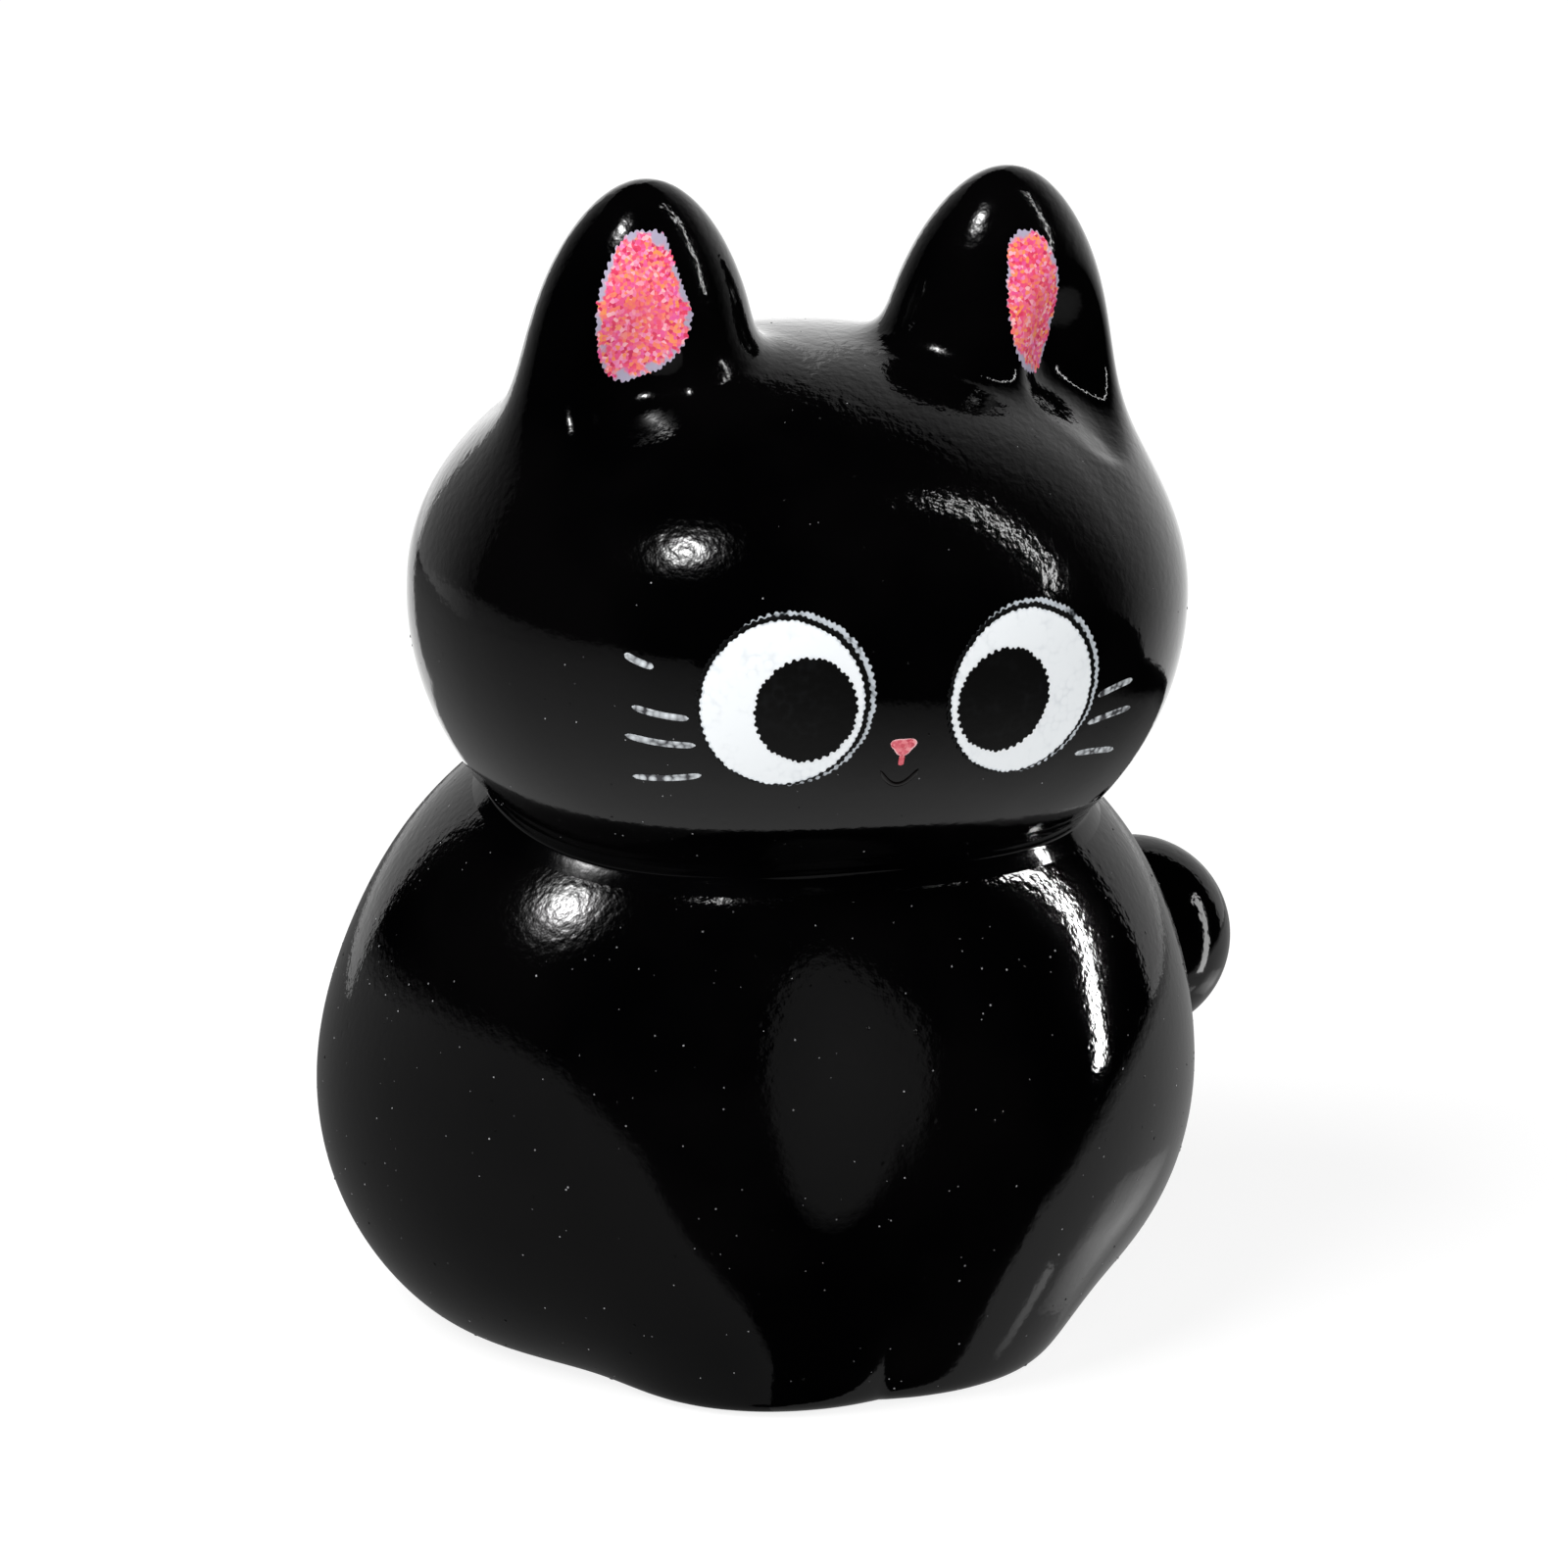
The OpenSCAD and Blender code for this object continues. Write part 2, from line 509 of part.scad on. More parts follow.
body();
head();
neck_slip_ring();
ear_left();
ear_right();
tail();
eye_rim_left();
eye_rim_right();
eye_outline_left();
eye_outline_right();
eye_white_left();
eye_white_right();
pupil_left();
pupil_right();
nose();
nose_stem();
mouth();
whiskers_left();
whiskers_right();
inner_ear_left();
inner_ear_right();
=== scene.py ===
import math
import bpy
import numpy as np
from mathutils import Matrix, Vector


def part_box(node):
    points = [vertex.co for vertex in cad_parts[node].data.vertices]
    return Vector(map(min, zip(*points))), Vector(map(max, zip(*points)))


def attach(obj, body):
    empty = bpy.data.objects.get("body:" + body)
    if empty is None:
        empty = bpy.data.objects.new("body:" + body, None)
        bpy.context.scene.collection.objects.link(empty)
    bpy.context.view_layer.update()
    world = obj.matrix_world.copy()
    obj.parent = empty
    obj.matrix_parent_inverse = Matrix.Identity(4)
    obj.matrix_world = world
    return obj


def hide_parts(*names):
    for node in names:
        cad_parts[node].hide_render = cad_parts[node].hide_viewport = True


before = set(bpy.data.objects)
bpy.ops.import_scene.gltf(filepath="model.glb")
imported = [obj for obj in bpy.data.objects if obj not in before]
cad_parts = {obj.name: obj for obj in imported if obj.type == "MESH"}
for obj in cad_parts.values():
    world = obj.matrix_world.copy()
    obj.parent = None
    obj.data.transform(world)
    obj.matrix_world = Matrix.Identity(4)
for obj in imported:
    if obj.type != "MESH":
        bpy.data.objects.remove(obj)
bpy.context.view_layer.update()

# %% [markdown]
# # A small glazed ceramic cat
# A seated cat, 25 mm tall, is cast in two hollow halves: a body and a head. They are luted
# together with slip, the ears and the bobtail are pressed on, everything is dipped in black
# glaze and fired, and the face is laid on as printed decals in a last, cooler firing.
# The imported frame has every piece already, but a mirror-black glaze shows the smallest facet, so
# each piece is made again here from the same surface rules, finer, and replaces its frame node.

MM = 0.001

# %% [markdown]
# ## The driving sizes
# All are in millimetres, as in the frame. The head is an egg with slightly square shoulders, the
# ears are ellipsoids with a dished front, and the body is a torso, two haunches and two front
# legs that melt into one another.

# %% Sizes of the castings
HEAD_MID = np.array([0.0, -0.4, 15.7])
HEAD_HALF = (7.95, 6.55)
CROWN_RISE, CHIN_DROP = 5.35, 6.65
LEAN_PIVOT, HEAD_LEAN = np.array([0.0, 0.0, 11.2]), 3.3
NECK_MID = np.array([0.0, 0.3, 11.5])
TORSO_MID = np.array([0.0, 0.76, 5.9])
TORSO_HALF, TORSO_RISE = (8.5, 8.4), 7.3
HAUNCH_MID, HAUNCH_HALF = np.array([4.37, 1.8, 4.4]), np.array([4.5, 5.9, 4.9])
LEG_MID, LEG_HALF = np.array([1.05, -3.65, 3.1]), np.array([3.8, 3.05, 5.0])
BODY_BLEND, FOOT_EDGE = 0.6, 0.15
# How square an egg is, from above and from the side; 2 is round.
HEAD_SQUARE, TORSO_SQUARE, HOLLOW_SQUARE = (2.25, 2.06), (2.1, 2.2), (2.1, 2.1)

# %% Sizes of the hollows and openings
WALL, SIDE_WALL = 1.2, 1.4
BODY_CORE, BODY_HOLLOW_RISE, HEAD_HOLLOW_DROP = np.array([0.0, 0.6, 5.6]), 4.55, 2.8
FOOT_Y, FOOT_R = 0.8, 4.2
DRAIN_Y, DRAIN_R, DRAIN_FLARE, DRAIN_BEVEL, DRAIN_TOP = 2.5, 1.3, 0.06, 0.07, WALL + 0.15
PASSAGE_Y, PASSAGE_R, PASSAGE_LOW, PASSAGE_HIGH = 0.3, 1.7, 10.05, NECK_MID[2] + WALL + 0.35

# %% Sizes of the pieces set on the castings
EAR_OUT, EAR_TIP_Z = 3.8, 24.5
EAR_HALF = np.array([2.4, 1.75, 3.6])
EAR_MID = np.array([EAR_OUT, -0.8, EAR_TIP_Z - EAR_HALF[2]])
EAR_ROOT = np.array([EAR_OUT, -0.8, 18.9])
EAR_LEAN, EAR_TAPER, EAR_SLIMMEST, EAR_PULL = 1.3, 0.045, 0.4, 0.8
EAR_FILLET, EAR_FLARE, FLARE_OVER = 1.1, 1.6, 2.2
DISH_HALF, DISH_DEPTH, DISH_RIM = np.array([1.6, 1.6, 3.6]), 0.55, 0.16
DISH_AWAY, DISH_SINK = EAR_HALF[1] - DISH_DEPTH + DISH_HALF[1], 0.7
LEFT_DISH_TURN, RIGHT_DISH_TURN = math.radians(32), math.radians(21)
TAIL_TURN, TAIL_R, TAIL_SLIP = math.radians(21), 2.1, 0.22
TAIL_WAY = np.array([math.cos(TAIL_TURN), math.sin(TAIL_TURN), 0.0])
TAIL_MID = 9.75 * TAIL_WAY + (0, 0, 5.9)
TAIL_ROOT = 6.6 * TAIL_WAY + (0, 0, 5.9)

# %% [markdown]
# ## Surfaces as rules
# Each rule takes points and tells how far each is outside the clay, negative inside. Modelling
# clay by hand is mostly pressing one lump into another and smoothing the join, and a soft
# minimum does just that. A rule gives exact, even surfaces at any fineness, unlike a sculpt.

# %% Soft joins and turned points
def melt(gaps, softness):
    gaps = np.stack(gaps)
    least = gaps.min(axis=0)
    return least - softness * np.log(np.exp((least - gaps) / softness).sum(axis=0))


def melt_near(gap, other, near):
    """A fillet that ends where one gap is larger than the other by this much."""
    h = np.maximum(near - np.abs(gap - other), 0) / near
    return np.minimum(gap, other) - h ** 3 * near / 6


def cut_softly(gap, other, softness):
    return -melt([-gap, -other], softness)


def leaned(points, degrees, pivot):
    q = points - pivot
    c, s = math.cos(math.radians(degrees)), math.sin(math.radians(degrees))
    turned = np.stack([q[:, 0] * c + q[:, 2] * s, q[:, 1], q[:, 2] * c - q[:, 0] * s], axis=1)
    return turned + pivot


def both_sides(points):
    return np.abs(points) * (1, 0, 0) + points * (0, 1, 1)


# %% Ellipsoid and egg
def ball_gap(q, half):
    k = np.linalg.norm(q / half, axis=1) + 1e-9
    return k * (k - 1) / (np.linalg.norm(q / half / half, axis=1) + 1e-9)


def egg_size(q, half, rise, drop, square):
    n, m = square
    plan = (np.abs(q[:, 0]) / half[0]) ** n + (np.abs(q[:, 1]) / half[1]) ** n
    up = np.where(q[:, 2] > 0, q[:, 2] / rise, -q[:, 2] / drop)
    return (plan ** (m / n) + up ** m) ** (1 / m) + 1e-9


def egg_gap(q, *shape):
    return np.linalg.norm(q, axis=1) * (1 - 1 / egg_size(q, *shape))


# %% The cat's own surfaces
def bare_head(p):
    return egg_gap(p - HEAD_MID, HEAD_HALF, CROWN_RISE, CHIN_DROP, HEAD_SQUARE)


def eared_head(p, dish_turn):
    """The head with an ear on its left side; the root flares wide on the ear's outer side."""
    facing = np.array([math.sin(dish_turn), -math.cos(dish_turn), 0])
    q = leaned(p, -EAR_LEAN, EAR_MID) - EAR_MID
    slim = np.maximum(EAR_SLIMMEST, 1 - EAR_TAPER * q[:, 2])
    narrowed = np.stack([q[:, 0] / slim, q[:, 1] / slim, q[:, 2]], axis=1)
    dish = ball_gap(q - (DISH_AWAY * facing - (0, 0, DISH_SINK)), DISH_HALF)
    ear = cut_softly(EAR_PULL * ball_gap(narrowed, EAR_HALF), -dish, DISH_RIM)
    t = np.clip(q[:, 0] / FLARE_OVER, 0, 1)
    return melt_near(bare_head(p), ear, EAR_FILLET + EAR_FLARE * t * t * (3 - 2 * t))


def left_eared_head(p):
    return eared_head(p, LEFT_DISH_TURN)


def right_eared_head(p):
    """The head with its right ear on, mirrored to the left side."""
    return eared_head(p, RIGHT_DISH_TURN)


def bare_body(p):
    q = both_sides(p)
    torso = egg_gap(p - TORSO_MID, TORSO_HALF, TORSO_RISE, TORSO_RISE, TORSO_SQUARE)
    lumps = [torso, ball_gap(q - HAUNCH_MID, HAUNCH_HALF), ball_gap(q - LEG_MID, LEG_HALF)]
    return cut_softly(melt(lumps, BODY_BLEND), -p[:, 2], FOOT_EDGE)


def tailed_body(p):
    return melt([bare_body(p), np.linalg.norm(p - TAIL_MID, axis=1) - TAIL_R], TAIL_SLIP)


def placed_head(p):
    return bare_head(leaned(p, -HEAD_LEAN, LEAN_PIVOT))


# %% [markdown]
# ## From a rule to points
# A ray sent out from inside the clay crosses the surface once, and halving the interval over and
# over finds where. All rays of a piece are halved together in one array, which is quick.

# %% Rays and normals
def halve(low, high, before, halvings):
    """Closes intervals on the place where before(middle) turns from true to false."""
    for _ in range(halvings):
        mid = (low + high) / 2
        yes = before(mid)
        low, high = np.where(yes, mid, low), np.where(yes, high, mid)
    return (low + high) / 2


def reach(gap, start, way, near, far, halvings=30):
    low, high = np.full(len(way), float(near)), np.full(len(way), float(far))
    return halve(low, high, lambda mid: gap(start + way * mid[:, None]) < 0, halvings)


def unit(v):
    return v / np.linalg.norm(v, axis=-1, keepdims=True)


def outward(gap, p, step=0.004):
    slopes = [gap(p + step * axis) - gap(p - step * axis) for axis in np.eye(3)]
    return unit(np.stack(slopes, axis=1))


def between(a, b, t):
    """Directions a fraction t of the way along the arc from a to b."""
    w = np.arccos(np.clip((a * b).sum(axis=1), -1, 1))[:, None]
    return unit(np.sin((1 - t) * w) * a + np.sin(t * w) * b)


# %% [markdown]
# ## From points to a piece
# A cast form is naturally a stack of rings. Joining each ring to the next makes clean quads, and a
# ring piece is closed either with a point at each end or by joining its last ring to its first, as
# a casting open at both ends is. Only a rim such as the drain hole's is marked sharp.

# %% Ring meshes
SHARP_ANGLE = 40


def new_object(name, data):
    made = bpy.data.objects.new(name, data)
    bpy.context.collection.objects.link(made)
    return made


def mark_points(mesh, label, values):
    values = np.asarray(values, dtype=float)
    mesh.attributes.new(label, "FLOAT", "POINT").data.foreach_set("value", values)


def mesh_piece(name, points, faces, marks=None):
    mesh = bpy.data.meshes.new(name)
    mesh.from_pydata((np.asarray(points) * MM).tolist(), [], faces)
    mesh.polygons.foreach_set("use_smooth", [True] * len(mesh.polygons))
    mesh.set_sharp_from_angle(angle=math.radians(SHARP_ANGLE))
    for label, values in (marks or {}).items():
        mark_points(mesh, label, values)
    print(f"{name}: {len(points)} points, {len(faces)} faces")
    return new_object(name, mesh)


def ring_quads(n, j, k):
    i = np.arange(n)
    after = (i + 1) % n
    return np.stack([j * n + i, j * n + after, k * n + after, k * n + i], axis=1).tolist()


def ring_piece(name, rings, ends=None, marks=None):
    m, n = len(rings), len(rings[0])
    points = np.concatenate(rings)
    quads = [q for j in range(m - 1) for q in ring_quads(n, j, j + 1)]
    if ends is None:
        return mesh_piece(name, points, quads + ring_quads(n, m - 1, 0), marks)
    points = np.concatenate([points, ends])
    top = [[m * n, (i + 1) % n, i] for i in range(n)]
    foot = [[m * n + 1, (m - 1) * n + i, (m - 1) * n + (i + 1) % n] for i in range(n)]
    return mesh_piece(name, points, top + quads + foot, marks)


def mirrored(rings, ends):
    """The mirror image, its rings run the other way round so that its faces turn as before."""
    return [(r * (-1, 1, 1))[::-1] for r in rings], ends * (-1, 1, 1)


# %% [markdown]
# ## The neck joint
# Body and head were cast apart, trimmed where their outlines meet, scored and luted. The joint
# line isn't flat, because the head leans and sits a little forward. For each spoke round the neck
# the height is found at which head and body are equally wide, and both castings end there.

# %% Spokes and the joint line
SPOKES = 288
turn = np.arange(SPOKES) * 2 * np.pi / SPOKES
spoke = np.stack([np.cos(turn), np.sin(turn), 0 * turn], axis=1)


def ring_at(y, radius, height):
    return np.array([0, y, height]) + radius * spoke


def on_axis(height):
    return NECK_MID * (1, 1, 0) + height[:, None] * (0, 0, 1)


def width(gap, height):
    return reach(gap, on_axis(height), spoke, 0, 9, 26)


joint_height = halve(np.full(SPOKES, 10.0), np.full(SPOKES, 13.2),
                     lambda height: width(placed_head, height) < width(bare_body, height), 26)
neck_line = on_axis(joint_height) + spoke * width(bare_body, joint_height)[:, None]
print("neck joint height, mm:", joint_height.min().round(2), "to", joint_height.max().round(2))

# %% [markdown]
# ## The body casting
# Slip is poured into a plaster mould, left until a wall has set, and poured out again. The body
# is therefore hollow, with an egg-smooth inside and a drain hole in its foot. The mark named
# `bare` says where no glaze is: the foot, which is wiped so that it doesn't stick to the kiln
# shelf, and the inside.

# %% Body
def hollow_rings(mid, shape, first_way, last_way, count):
    ways = [between(first_way, last_way, j / count) for j in range(1, count + 1)]
    return [mid + way / egg_size(way, *shape)[:, None] for way in ways]


def skin_rings(gap, mid, first_way, last_way, count):
    ways = [between(first_way, last_way, j / count) for j in range(1, count)]
    far = reach(gap, mid, np.concatenate(ways), 1, 12)
    return list((mid + np.concatenate(ways) * far[:, None]).reshape(count - 1, -1, 3))


def cast_body():
    foot = ring_at(FOOT_Y, FOOT_R, 0)
    first, last = unit(neck_line - BODY_CORE), unit(foot - BODY_CORE)
    side = [neck_line] + skin_rings(bare_body, BODY_CORE, first, last, 170)
    drain = [ring_at(DRAIN_Y, DRAIN_R + DRAIN_FLARE, 0), ring_at(DRAIN_Y, DRAIN_R, DRAIN_BEVEL),
             ring_at(DRAIN_Y, DRAIN_R, DRAIN_TOP)]
    passage = [ring_at(PASSAGE_Y, PASSAGE_R, z) for z in (PASSAGE_LOW, NECK_MID[2])]
    half = [h - SIDE_WALL for h in TORSO_HALF]
    shape = (half, BODY_HOLLOW_RISE, BODY_CORE[2] - WALL, HOLLOW_SQUARE)
    floor = hollow_rings(BODY_CORE, shape, unit(drain[-1] - BODY_CORE), spoke, 16)
    roof = hollow_rings(BODY_CORE, shape, spoke, unit(passage[0] - BODY_CORE), 16)[:-1]
    rings = side + [foot] + drain + floor + roof + passage
    bare = np.ones((len(rings), SPOKES))
    bare[:len(side)] = 0
    return ring_piece("body_casting", rings, marks={"bare": bare.ravel()})


body_casting = cast_body()

# %% [markdown]
# ## The head casting
# The head is the same kind of casting with the opening at the neck only. Its rings run from the
# crown down to the joint line, across the seat, up the passage and round the inside. It is built
# upright and then leaned, as the maker set it on.

# %% Head
def set_on_neck(points):
    return leaned(points, HEAD_LEAN, LEAN_PIVOT)


def cast_head():
    edge = leaned(neck_line, -HEAD_LEAN, LEAN_PIVOT)
    seat = leaned(ring_at(PASSAGE_Y, PASSAGE_R, NECK_MID[2]), -HEAD_LEAN, LEAN_PIVOT)
    passage = ring_at(PASSAGE_Y, PASSAGE_R, PASSAGE_HIGH)
    crown_way = np.tile([0.0, 0.0, 1.0], (SPOKES, 1))
    skin = skin_rings(bare_head, HEAD_MID, crown_way, unit(edge - HEAD_MID), 190)
    shape = ([h - WALL for h in HEAD_HALF], CROWN_RISE - WALL, HEAD_HOLLOW_DROP, HOLLOW_SQUARE)
    hollow = hollow_rings(HEAD_MID, shape, unit(passage - HEAD_MID), crown_way, 24)[:-1]
    rings = skin + [edge, seat, passage] + hollow
    ends = HEAD_MID + np.array([[0, 0, CROWN_RISE], [0, 0, CROWN_RISE - WALL]])
    bare = np.ones(len(rings) * SPOKES + 2)
    bare[:(len(skin) + 1) * SPOKES] = 0
    bare[-2] = 0
    placed = [set_on_neck(r) for r in rings]
    return ring_piece("head_casting", placed, ends=set_on_neck(ends), marks={"bare": bare})


head_casting = cast_head()

# %% [markdown]
# ## Slip in the neck groove
# The slip that squeezes out of the joint is wiped into the groove with a damp brush. It leaves a
# small hollow fillet that runs all round, and its glaze shows as a thin line of light.

# %% Neck slip
SLIP_REACH, SLIP_PROUD, SLIP_DEPTH, SLIP_ROUND = 0.42, 0.004, 0.62, 0.8


def wipe_neck_slip():
    head_heart = leaned(HEAD_MID[None], HEAD_LEAN, LEAN_PIVOT)[0]
    out = unit(neck_line * (1, 1, 0))

    def along(gap, heart, rise):
        way = unit(neck_line + out * abs(rise) / 2 + rise * np.array([0, 0, 1]) - heart)
        return heart + way * (reach(gap, heart, way, 1, 12) + SLIP_PROUD)[:, None]

    steps = np.linspace(0.15, 1, 5)
    up = [along(placed_head, head_heart, s * SLIP_REACH) for s in steps]
    down = [along(bare_body, TORSO_MID, -s * SLIP_REACH) for s in steps]
    groove = neck_line + SLIP_PROUD * out
    fillet = []
    for t in np.linspace(0, 1, 13)[1:-1]:
        chord = up[-1] * (1 - t) + down[-1] * t
        fillet.append(chord + (groove - chord) * SLIP_DEPTH * math.sin(math.pi * t) ** SLIP_ROUND)
    return ring_piece("neck_slip", [groove] + up + fillet + down[::-1])


neck_slip = wipe_neck_slip()

# %% [markdown]
# ## Lumps set on a casting
# Ears and tail are pressed pieces. Each is the space between the casting's surface and the same
# surface with the lump melted on. Rays fan out from a root inside the casting. Where the lump no
# longer stands proud of the casting is its edge, so each lump thins out to a feather edge as slip
# does when it is smoothed down.

# %% Growing a lump
LUMP_SPOKES, PROUD, SEAT_AIR, EDGE_SOFTEN = 144, 0.004, 0.001, 5


def fan(axis, around, away):
    helper = np.array([0, 1, 0]) if abs(axis[2]) > 0.7 else np.array([0, 0, 1])
    u = unit(np.cross(axis, helper))
    v = np.cross(axis, u)
    rim = np.cos(around)[:, None] * u + np.sin(around)[:, None] * v
    return np.cos(away)[:, None] * axis + np.sin(away)[:, None] * rim


def lump_rings(host, grown, root, axis, skin_count, seat_count, widest, far):
    """Rings out over a lump's skin and back under its seat, and the two points that end them."""
    around = np.arange(LUMP_SPOKES) * 2 * np.pi / LUMP_SPOKES

    def hits(away):
        way = fan(axis, around, away)
        return way, reach(host, root, way, 0, far), reach(grown, root, way, 0, far)

    def stands_proud(away):
        _, under, over = hits(away)
        return over - under > PROUD

    low, high = (np.full(LUMP_SPOKES, math.radians(a)) for a in (5, widest))
    edge = halve(low, high, stands_proud, 22)
    for soften in (np.max, np.mean):
        edge = soften([np.roll(edge, k) for k in range(-EDGE_SOFTEN, EDGE_SOFTEN + 1)], axis=0)
    rings = []
    for j in range(1, skin_count + 1):
        way, under, over = hits(edge * j / skin_count)
        rings.append(root + way * np.maximum(over, under + PROUD)[:, None])
    for j in range(seat_count, 0, -1):
        way, under, _ = hits(edge * j / seat_count)
        rings.append(root + way * (under + SEAT_AIR)[:, None])
    ends = [root + axis * reach(gap, root, axis[None, :], 0, far) for gap in (grown, host)]
    return rings, np.array(ends)


# %% [markdown]
# ## Ears
# Each ear is a thick cone with a round tip. Its root is smeared down on the outer side, and a
# thumb has dished its front, further round to the outside on the left ear than on the right.
# Apart from that the right ear is the left one's mirror image.

# %% Both ears
def set_ear(name, grown, side):
    up = np.array([0.0, 0.0, 1.0])
    rings, ends = lump_rings(bare_head, grown, EAR_ROOT, up, 120, 28, widest=125, far=5.9)
    if side < 0:
        rings, ends = mirrored(rings, ends)
    return ring_piece(name, [set_on_neck(r) for r in rings], ends=set_on_neck(ends))


left_ear = set_ear("left_ear", left_eared_head, 1)
right_ear = set_ear("right_ear", right_eared_head, -1)

# %% [markdown]
# ## Bobtail
# A ball of clay pressed on low at the cat's left side, towards the back.

# %% Tail
bobtail = ring_piece("bobtail", *lump_rings(
    bare_body, tailed_body, TAIL_ROOT, TAIL_WAY, 80, 20, widest=100, far=9))

# %% [markdown]
# ## Printed decals
# The face is screen printed on gummed paper, layer over layer, and slid on to the glaze wet. Two
# things give that away, and both are modelled: every edge is stepped by the threads of the
# screen, and the layers are a little out of register. Each layer is a real skin a hundredth of a
# millimetre thick, drawn on a flat sheet and dropped on to the surface along the sheet's normal.

# %% Laying a flat drawing on a surface
INK, AIR = 0.010, 0.004
THREAD, SCREEN_TURN, STEP_SHARPNESS = 0.165, math.radians(22), 2.5
AHEAD, LIFTED = 12.0, 3.0


def lay_sheet(gap, x, z):
    """A flat sheet that touches the surface straight behind (x, z)."""
    forward = reach(gap, np.array([x, 0, z]), np.array([[0.0, -1.0, 0.0]]), 0, AHEAD)
    spot = np.array([x, -AHEAD, z]) + (AHEAD - forward) * (0, 1, 0)
    face = outward(gap, spot[None])[0]
    across = unit(np.cross([0, 0, 1], face))
    return spot, face, across, np.cross(face, across)


def laid(gap, sheet, flat, lift):
    spot, face, across, up = sheet
    start = spot + flat[:, :1] * across + flat[:, 1:] * up - LIFTED * face
    p = start + face * reach(gap, start, np.tile(face, (len(flat), 1)), 0, 5)[:, None]
    return p + outward(gap, p) * lift


def screen_steps(flat, depth):
    """Pushes an outline in and out as the threads of a printing screen do."""
    c, s = math.cos(SCREEN_TURN), math.sin(SCREEN_TURN)
    k = 2 * np.pi / THREAD
    warp, weft = flat[:, 0] * c + flat[:, 1] * s, flat[:, 1] * c - flat[:, 0] * s
    weave = np.tanh(STEP_SHARPNESS * np.cos(k * warp) * np.cos(k * weft))
    return flat + unit(flat - flat.mean(axis=0)) * (weave * depth)[:, None]


# %% Making one printed layer
def print_patch(name, gap, sheet, outline, layer, rings=22, under=6, side=1):
    """A thin skin under the outline, from its middle out to its edge and back underneath."""
    low = AIR + layer * (INK + AIR)
    mid = outline.mean(axis=0)
    sizes = [(j / rings, low + INK) for j in range(1, rings + 1)]
    sizes += [(j / under, low) for j in range(under, 0, -1)]
    skin = [laid(gap, sheet, mid + (outline - mid) * s, lift) for s, lift in sizes]
    ends = np.concatenate([laid(gap, sheet, mid[None], lift) for lift in (low + INK, low)])
    edge = np.repeat([s for s, _ in sizes], len(outline)).tolist() + [0.0, 0.0]
    if side < 0:
        skin, ends = mirrored(skin, ends)
    placed = [set_on_neck(r) for r in skin]
    return ring_piece(name, placed, ends=set_on_neck(ends), marks={"edge": edge})


def oval(half_w, half_h, shift=(0.0, 0.0), count=480):
    a = np.arange(count) * 2 * np.pi / count
    return np.stack([half_w * np.cos(a), half_h * np.sin(a)], axis=1) + shift


# %% [markdown]
# ## Eyes
# Four layers make an eye: a white underprint, the black outline, the white itself and the pupil.
# The underprint is a little large and slipped up and to the right, on both eyes alike, because
# both were printed in the same pass.

# %% Eye layers
EYE_OUT, EYE_Z, EYE_R = 2.55, 15.25, 1.64
PUPIL_R, PUPIL_IN, PUPIL_DOWN = 1.03, 0.46, 0.1


def print_eye(word, side):
    """Each layer has its radius, how much wider and taller it is, its slip and its steps."""
    sheet = lay_sheet(bare_head, side * EYE_OUT, EYE_Z)
    layers = [("eye_rim", EYE_R, 0.12, 0.18, (0.11, 0.06), 0.024),
              ("eye_outline", EYE_R, 0.10, 0.14, (0.02, 0.03), 0.024),
              ("eye_white", EYE_R, 0.0, 0.07, (0.0, 0.0), 0.018),
              ("pupil", PUPIL_R, 0.0, 0.06, (-side * PUPIL_IN, -PUPIL_DOWN), 0.028)]
    printed = {}
    for k, (layer, radius, wider, taller, slip, steps) in enumerate(layers):
        drawing = screen_steps(oval(radius + wider, radius + taller, slip), steps)
        printed[f"{layer}_{word}"] = print_patch(f"{word}_{layer}", bare_head, sheet, drawing, k)
    return printed


eyes = {**print_eye("left", 1), **print_eye("right", -1)}

# %% [markdown]
# ## Nose, mouth and whiskers
# The nose is a rounded triangle with a short stem under it. The mouth is a fine line of glaze
# trailed on, so it only shows as relief. The whiskers are single strokes of white.

# %% Nose
NOSE_Z, NOSE_DOWN, NOSE_R, NOSE_CORNER, NOSE_SQUASH = 14.42, 0.1, 0.26, 0.16, 0.72


def print_nose():
    a = np.arange(120) * 2 * np.pi / 120
    r = NOSE_R * (1 + NOSE_CORNER * np.sin(3 * a))
    drawing = np.stack([r * np.cos(a), NOSE_SQUASH * r * np.sin(a)], axis=1)
    sheet = lay_sheet(bare_head, 0, NOSE_Z - NOSE_DOWN)
    return print_patch("nose_print", bare_head, sheet, drawing, 0, rings=8)


nose = print_nose()


# %% Strokes along a path
def trail(name, sheet, paths, width, height):
    """Rounded strokes of ink or glaze, each following its own path over the face."""
    points, faces = [], []
    arch = np.linspace(-1, 1, 7)
    lifts = [AIR + height * math.sqrt(1 - 0.9 * a * a) for a in arch] + [AIR] * len(arch)
    n = len(lifts)
    for path in paths:
        m = len(path)
        along = np.gradient(path, axis=0)
        side = unit(np.stack([-along[:, 1], along[:, 0]], axis=1))
        half = width / 2 * np.sqrt(np.clip(1 - np.abs(np.linspace(-1, 1, m)) ** 7, 0.02, 1))
        base = sum(len(p) for p in points)
        for a, lift in zip([*arch, *arch[::-1]], lifts):
            points.append(laid(bare_head, sheet, path + side * (a * half)[:, None], lift))
        for j in range(n):
            here, after = base + j * m, base + (j + 1) % n * m
            faces += [[here + i, after + i, after + i + 1, here + i + 1] for i in range(m - 1)]
        faces.append([base + j * m for j in range(n)][::-1])
        faces.append([base + j * m + m - 1 for j in range(n)])
    return mesh_piece(name, set_on_neck(np.concatenate(points)), faces)


